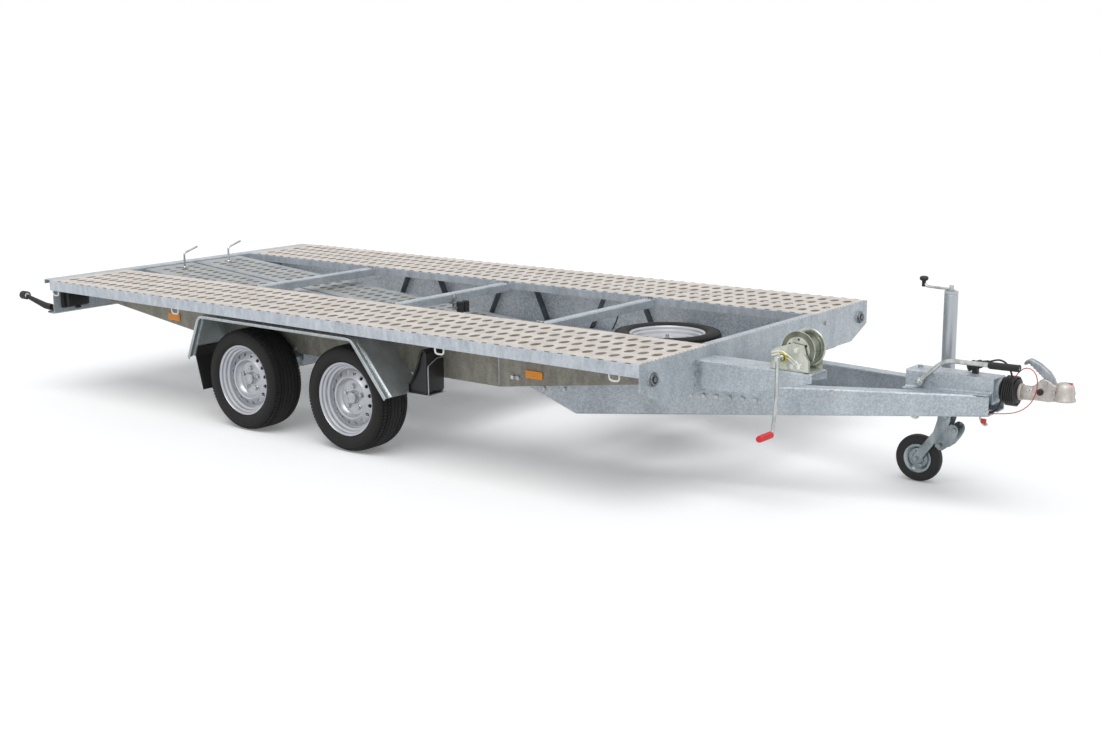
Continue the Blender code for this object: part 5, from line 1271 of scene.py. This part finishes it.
# Greased inner tube: olive brown, with dirt held in the grease.
inner_olive = zinc_skin("greased_olive_tube", "8C8A6E", "63614A", 0.003, 0.35, 0.6, 0.03, 0.15)
tube = turned("tube", [(0.0268, 0.3999), (0.03, 0.3999), (0.03, 0.856), (0.03, 0.8565),
                       (0.0285, 0.858), (0.0285, 0.86), (0.03, 0.861), (0.03, 0.87),
                       (0.0288, 0.8735), (0, 0.8738), (0, 0.866), (0.0268, 0.866)], 48,
              at(JACK_X, JACK_Y, 0))
tube = settle(tube, "jockey_tube", tube_zinc)
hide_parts("jockey_outer_tube")
dress(inner_olive, "jockey_inner_tube")
arm = pipe("arm", [(JACK_X, JACK_Y, 0.88), (JACK_X - 0.116, JACK_Y, 0.883),
                   (JACK_X - 0.128, JACK_Y, 0.899)], 0.006, 3, corner=0.012)
hub = turned("hub", [(0, 0.024), (0.009, 0.024), (0.01, 0.022), (0.01, 0.006), (0.0155, 0.005),
                     (0.0155, 0.0), (0, 0.0)], 28, at(JACK_X, JACK_Y, 0.8744))
arm = settle(joined(arm, hub), "jockey_crank_arm", rod_skin, smooth=45)
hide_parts("jockey_crank")
settle(turned("knob", [(0, 0.0538), (0.01, 0.0535), (0.0165, 0.051), (0.019, 0.0465),
                       (0.019, 0.04), (0.017, 0.0355), (0.011, 0.033), (0.0088, 0.03),
                       (0.0088, 0.008), (0.0078, 0.007), (0, 0.007)], 32,
              at(JACK_X - 0.129, JACK_Y, 0.8744)), "jockey_knob", chock_skin,
       smooth=40)
dress(olive_zinc, "jockey_clamp")
clamp_ear = [turned("band", [(0.0306, 0.0), (0.04, 0.0), (0.0405, 0.001), (0.0405, 0.009),
                             (0.04, 0.01), (0.0306, 0.01)], 40, at(JACK_X, JACK_Y, z))
              for z in (0.428, 0.4715)]
tommy = pipe("tommy", [(4.938, 0.262, 0.455), (4.90, 0.30, 0.455), (4.86, 0.306, 0.43)],
             0.005, corner=0.01)
clamp_nut = bolt(at(4.9375, 0.262, 0.455), (1, -0.6, 0))
settle(joined(*clamp_ear, tommy, clamp_nut), "clamp_bands", olive_zinc, smooth=40)
CHEEK_IN, CHEEK_OUT, PLATE_OUT = 0.032, 0.0358, 0.0392  # from the fork's middle
FORK = [(4.868, 0.3395), (4.922, 0.3395), (4.926, 0.33), (4.926, 0.305), (4.914, 0.268),
        (4.895, 0.236), (4.868, 0.206), (4.795, 0.1035), (4.783, 0.0897), (4.763, 0.0897),
        (4.7535, 0.1075), (4.761, 0.1255), (4.85, 0.245), (4.866, 0.30)]
PLATE = [(4.876, 0.214), (4.86, 0.196), (4.862, 0.18), (4.88, 0.166), (4.896, 0.166),
         (4.925, 0.188), (4.95, 0.222), (4.962, 0.245), (4.966, 0.262), (4.962, 0.278),
         (4.95, 0.288), (4.934, 0.29), (4.92, 0.282), (4.895, 0.245)]
fork_cheeks = []
for side in (-1, 1):
    for outline, near, far in ((FORK, CHEEK_IN, CHEEK_OUT), (PLATE, CHEEK_OUT, PLATE_OUT)):
        y0, y1 = sorted((JACK_Y + side * near, JACK_Y + side * far))
        fork_cheeks.append(slab("cheek", outline, y0, y1, 0.001))
crown_block = block("crown", (4.869, JACK_Y - 0.033, 0.318), (4.922, JACK_Y + 0.033, 0.3395),
                    0.002)
spine = slab("spine", [(4.866, 0.30), (4.87, 0.30), (4.854, 0.244), (4.80, 0.171),
                       (4.796, 0.173), (4.85, 0.246)], JACK_Y - 0.0325, JACK_Y + 0.0325)
pin = pipe("pin", [(AXLE_X, JACK_Y - 0.0435, AXLE_Z), (AXLE_X, JACK_Y + 0.0435, AXLE_Z)], 0.0058,
           3)
fork_nuts = [bolt(at(x, JACK_Y + side * (out + 0.0002), z), (0, side, 0))
             for x, z, out in ((AXLE_X, AXLE_Z, CHEEK_OUT), (4.905, 0.322, CHEEK_OUT),
                               (4.948, 0.266, PLATE_OUT), (4.882, 0.186, PLATE_OUT))
             for side in (-1, 1)]
fork = settle(joined(*fork_cheeks, crown_block, spine, pin, *fork_nuts), "trailing_fork",
              fork_zinc, "jockey_swivel")
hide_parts("jockey_fork")
small_rim = [(0.0068, 0.03), (0.0135, 0.03), (0.0145, 0.028), (0.015, 0.009), (0.024, 0.0075),
             (0.028, 0.0105), (0.044, 0.009), (0.05, 0.015), (0.0555, 0.0195),
             (0.065, 0.021), (0.066, 0.0195), (0.064, 0.018)]
small_rim = turned("rim", both_sides(small_rim), 48, at(AXLE_X, JACK_Y, AXLE_Z), (0, -1, 0))
RIM_CIRCLE = 0.034
small_bolts = [bolt(at(AXLE_X + RIM_CIRCLE * math.cos(turn), JACK_Y + way * 0.0095,
                       AXLE_Z + RIM_CIRCLE * math.sin(turn)), (0, way, 0), 0.55)
               for turn in (0.5, 2.07, 3.64, 5.21) for way in (-1, 1)]
rim = settle(joined(small_rim, *small_bolts), "jockey_wheel_rim", fork_zinc, "jockey_wheel",
             30)
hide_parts("jockey_rim")
solid = [(0.0663, 0.0195), (0.07, 0.0225), (0.08, 0.0238), (0.092, 0.0236), (0.10, 0.0215),
         (0.1045, 0.017), (0.1065, 0.011), (0.1075, 0.004)]
tyre = settle(turned("tyre", both_sides(solid), 64, at(AXLE_X, JACK_Y, AXLE_Z), (0, -1, 0)),
              "jockey_solid_tyre", flap_skin, "jockey_wheel", 40)
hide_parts("jockey_tyre")
discard(bolt_master)
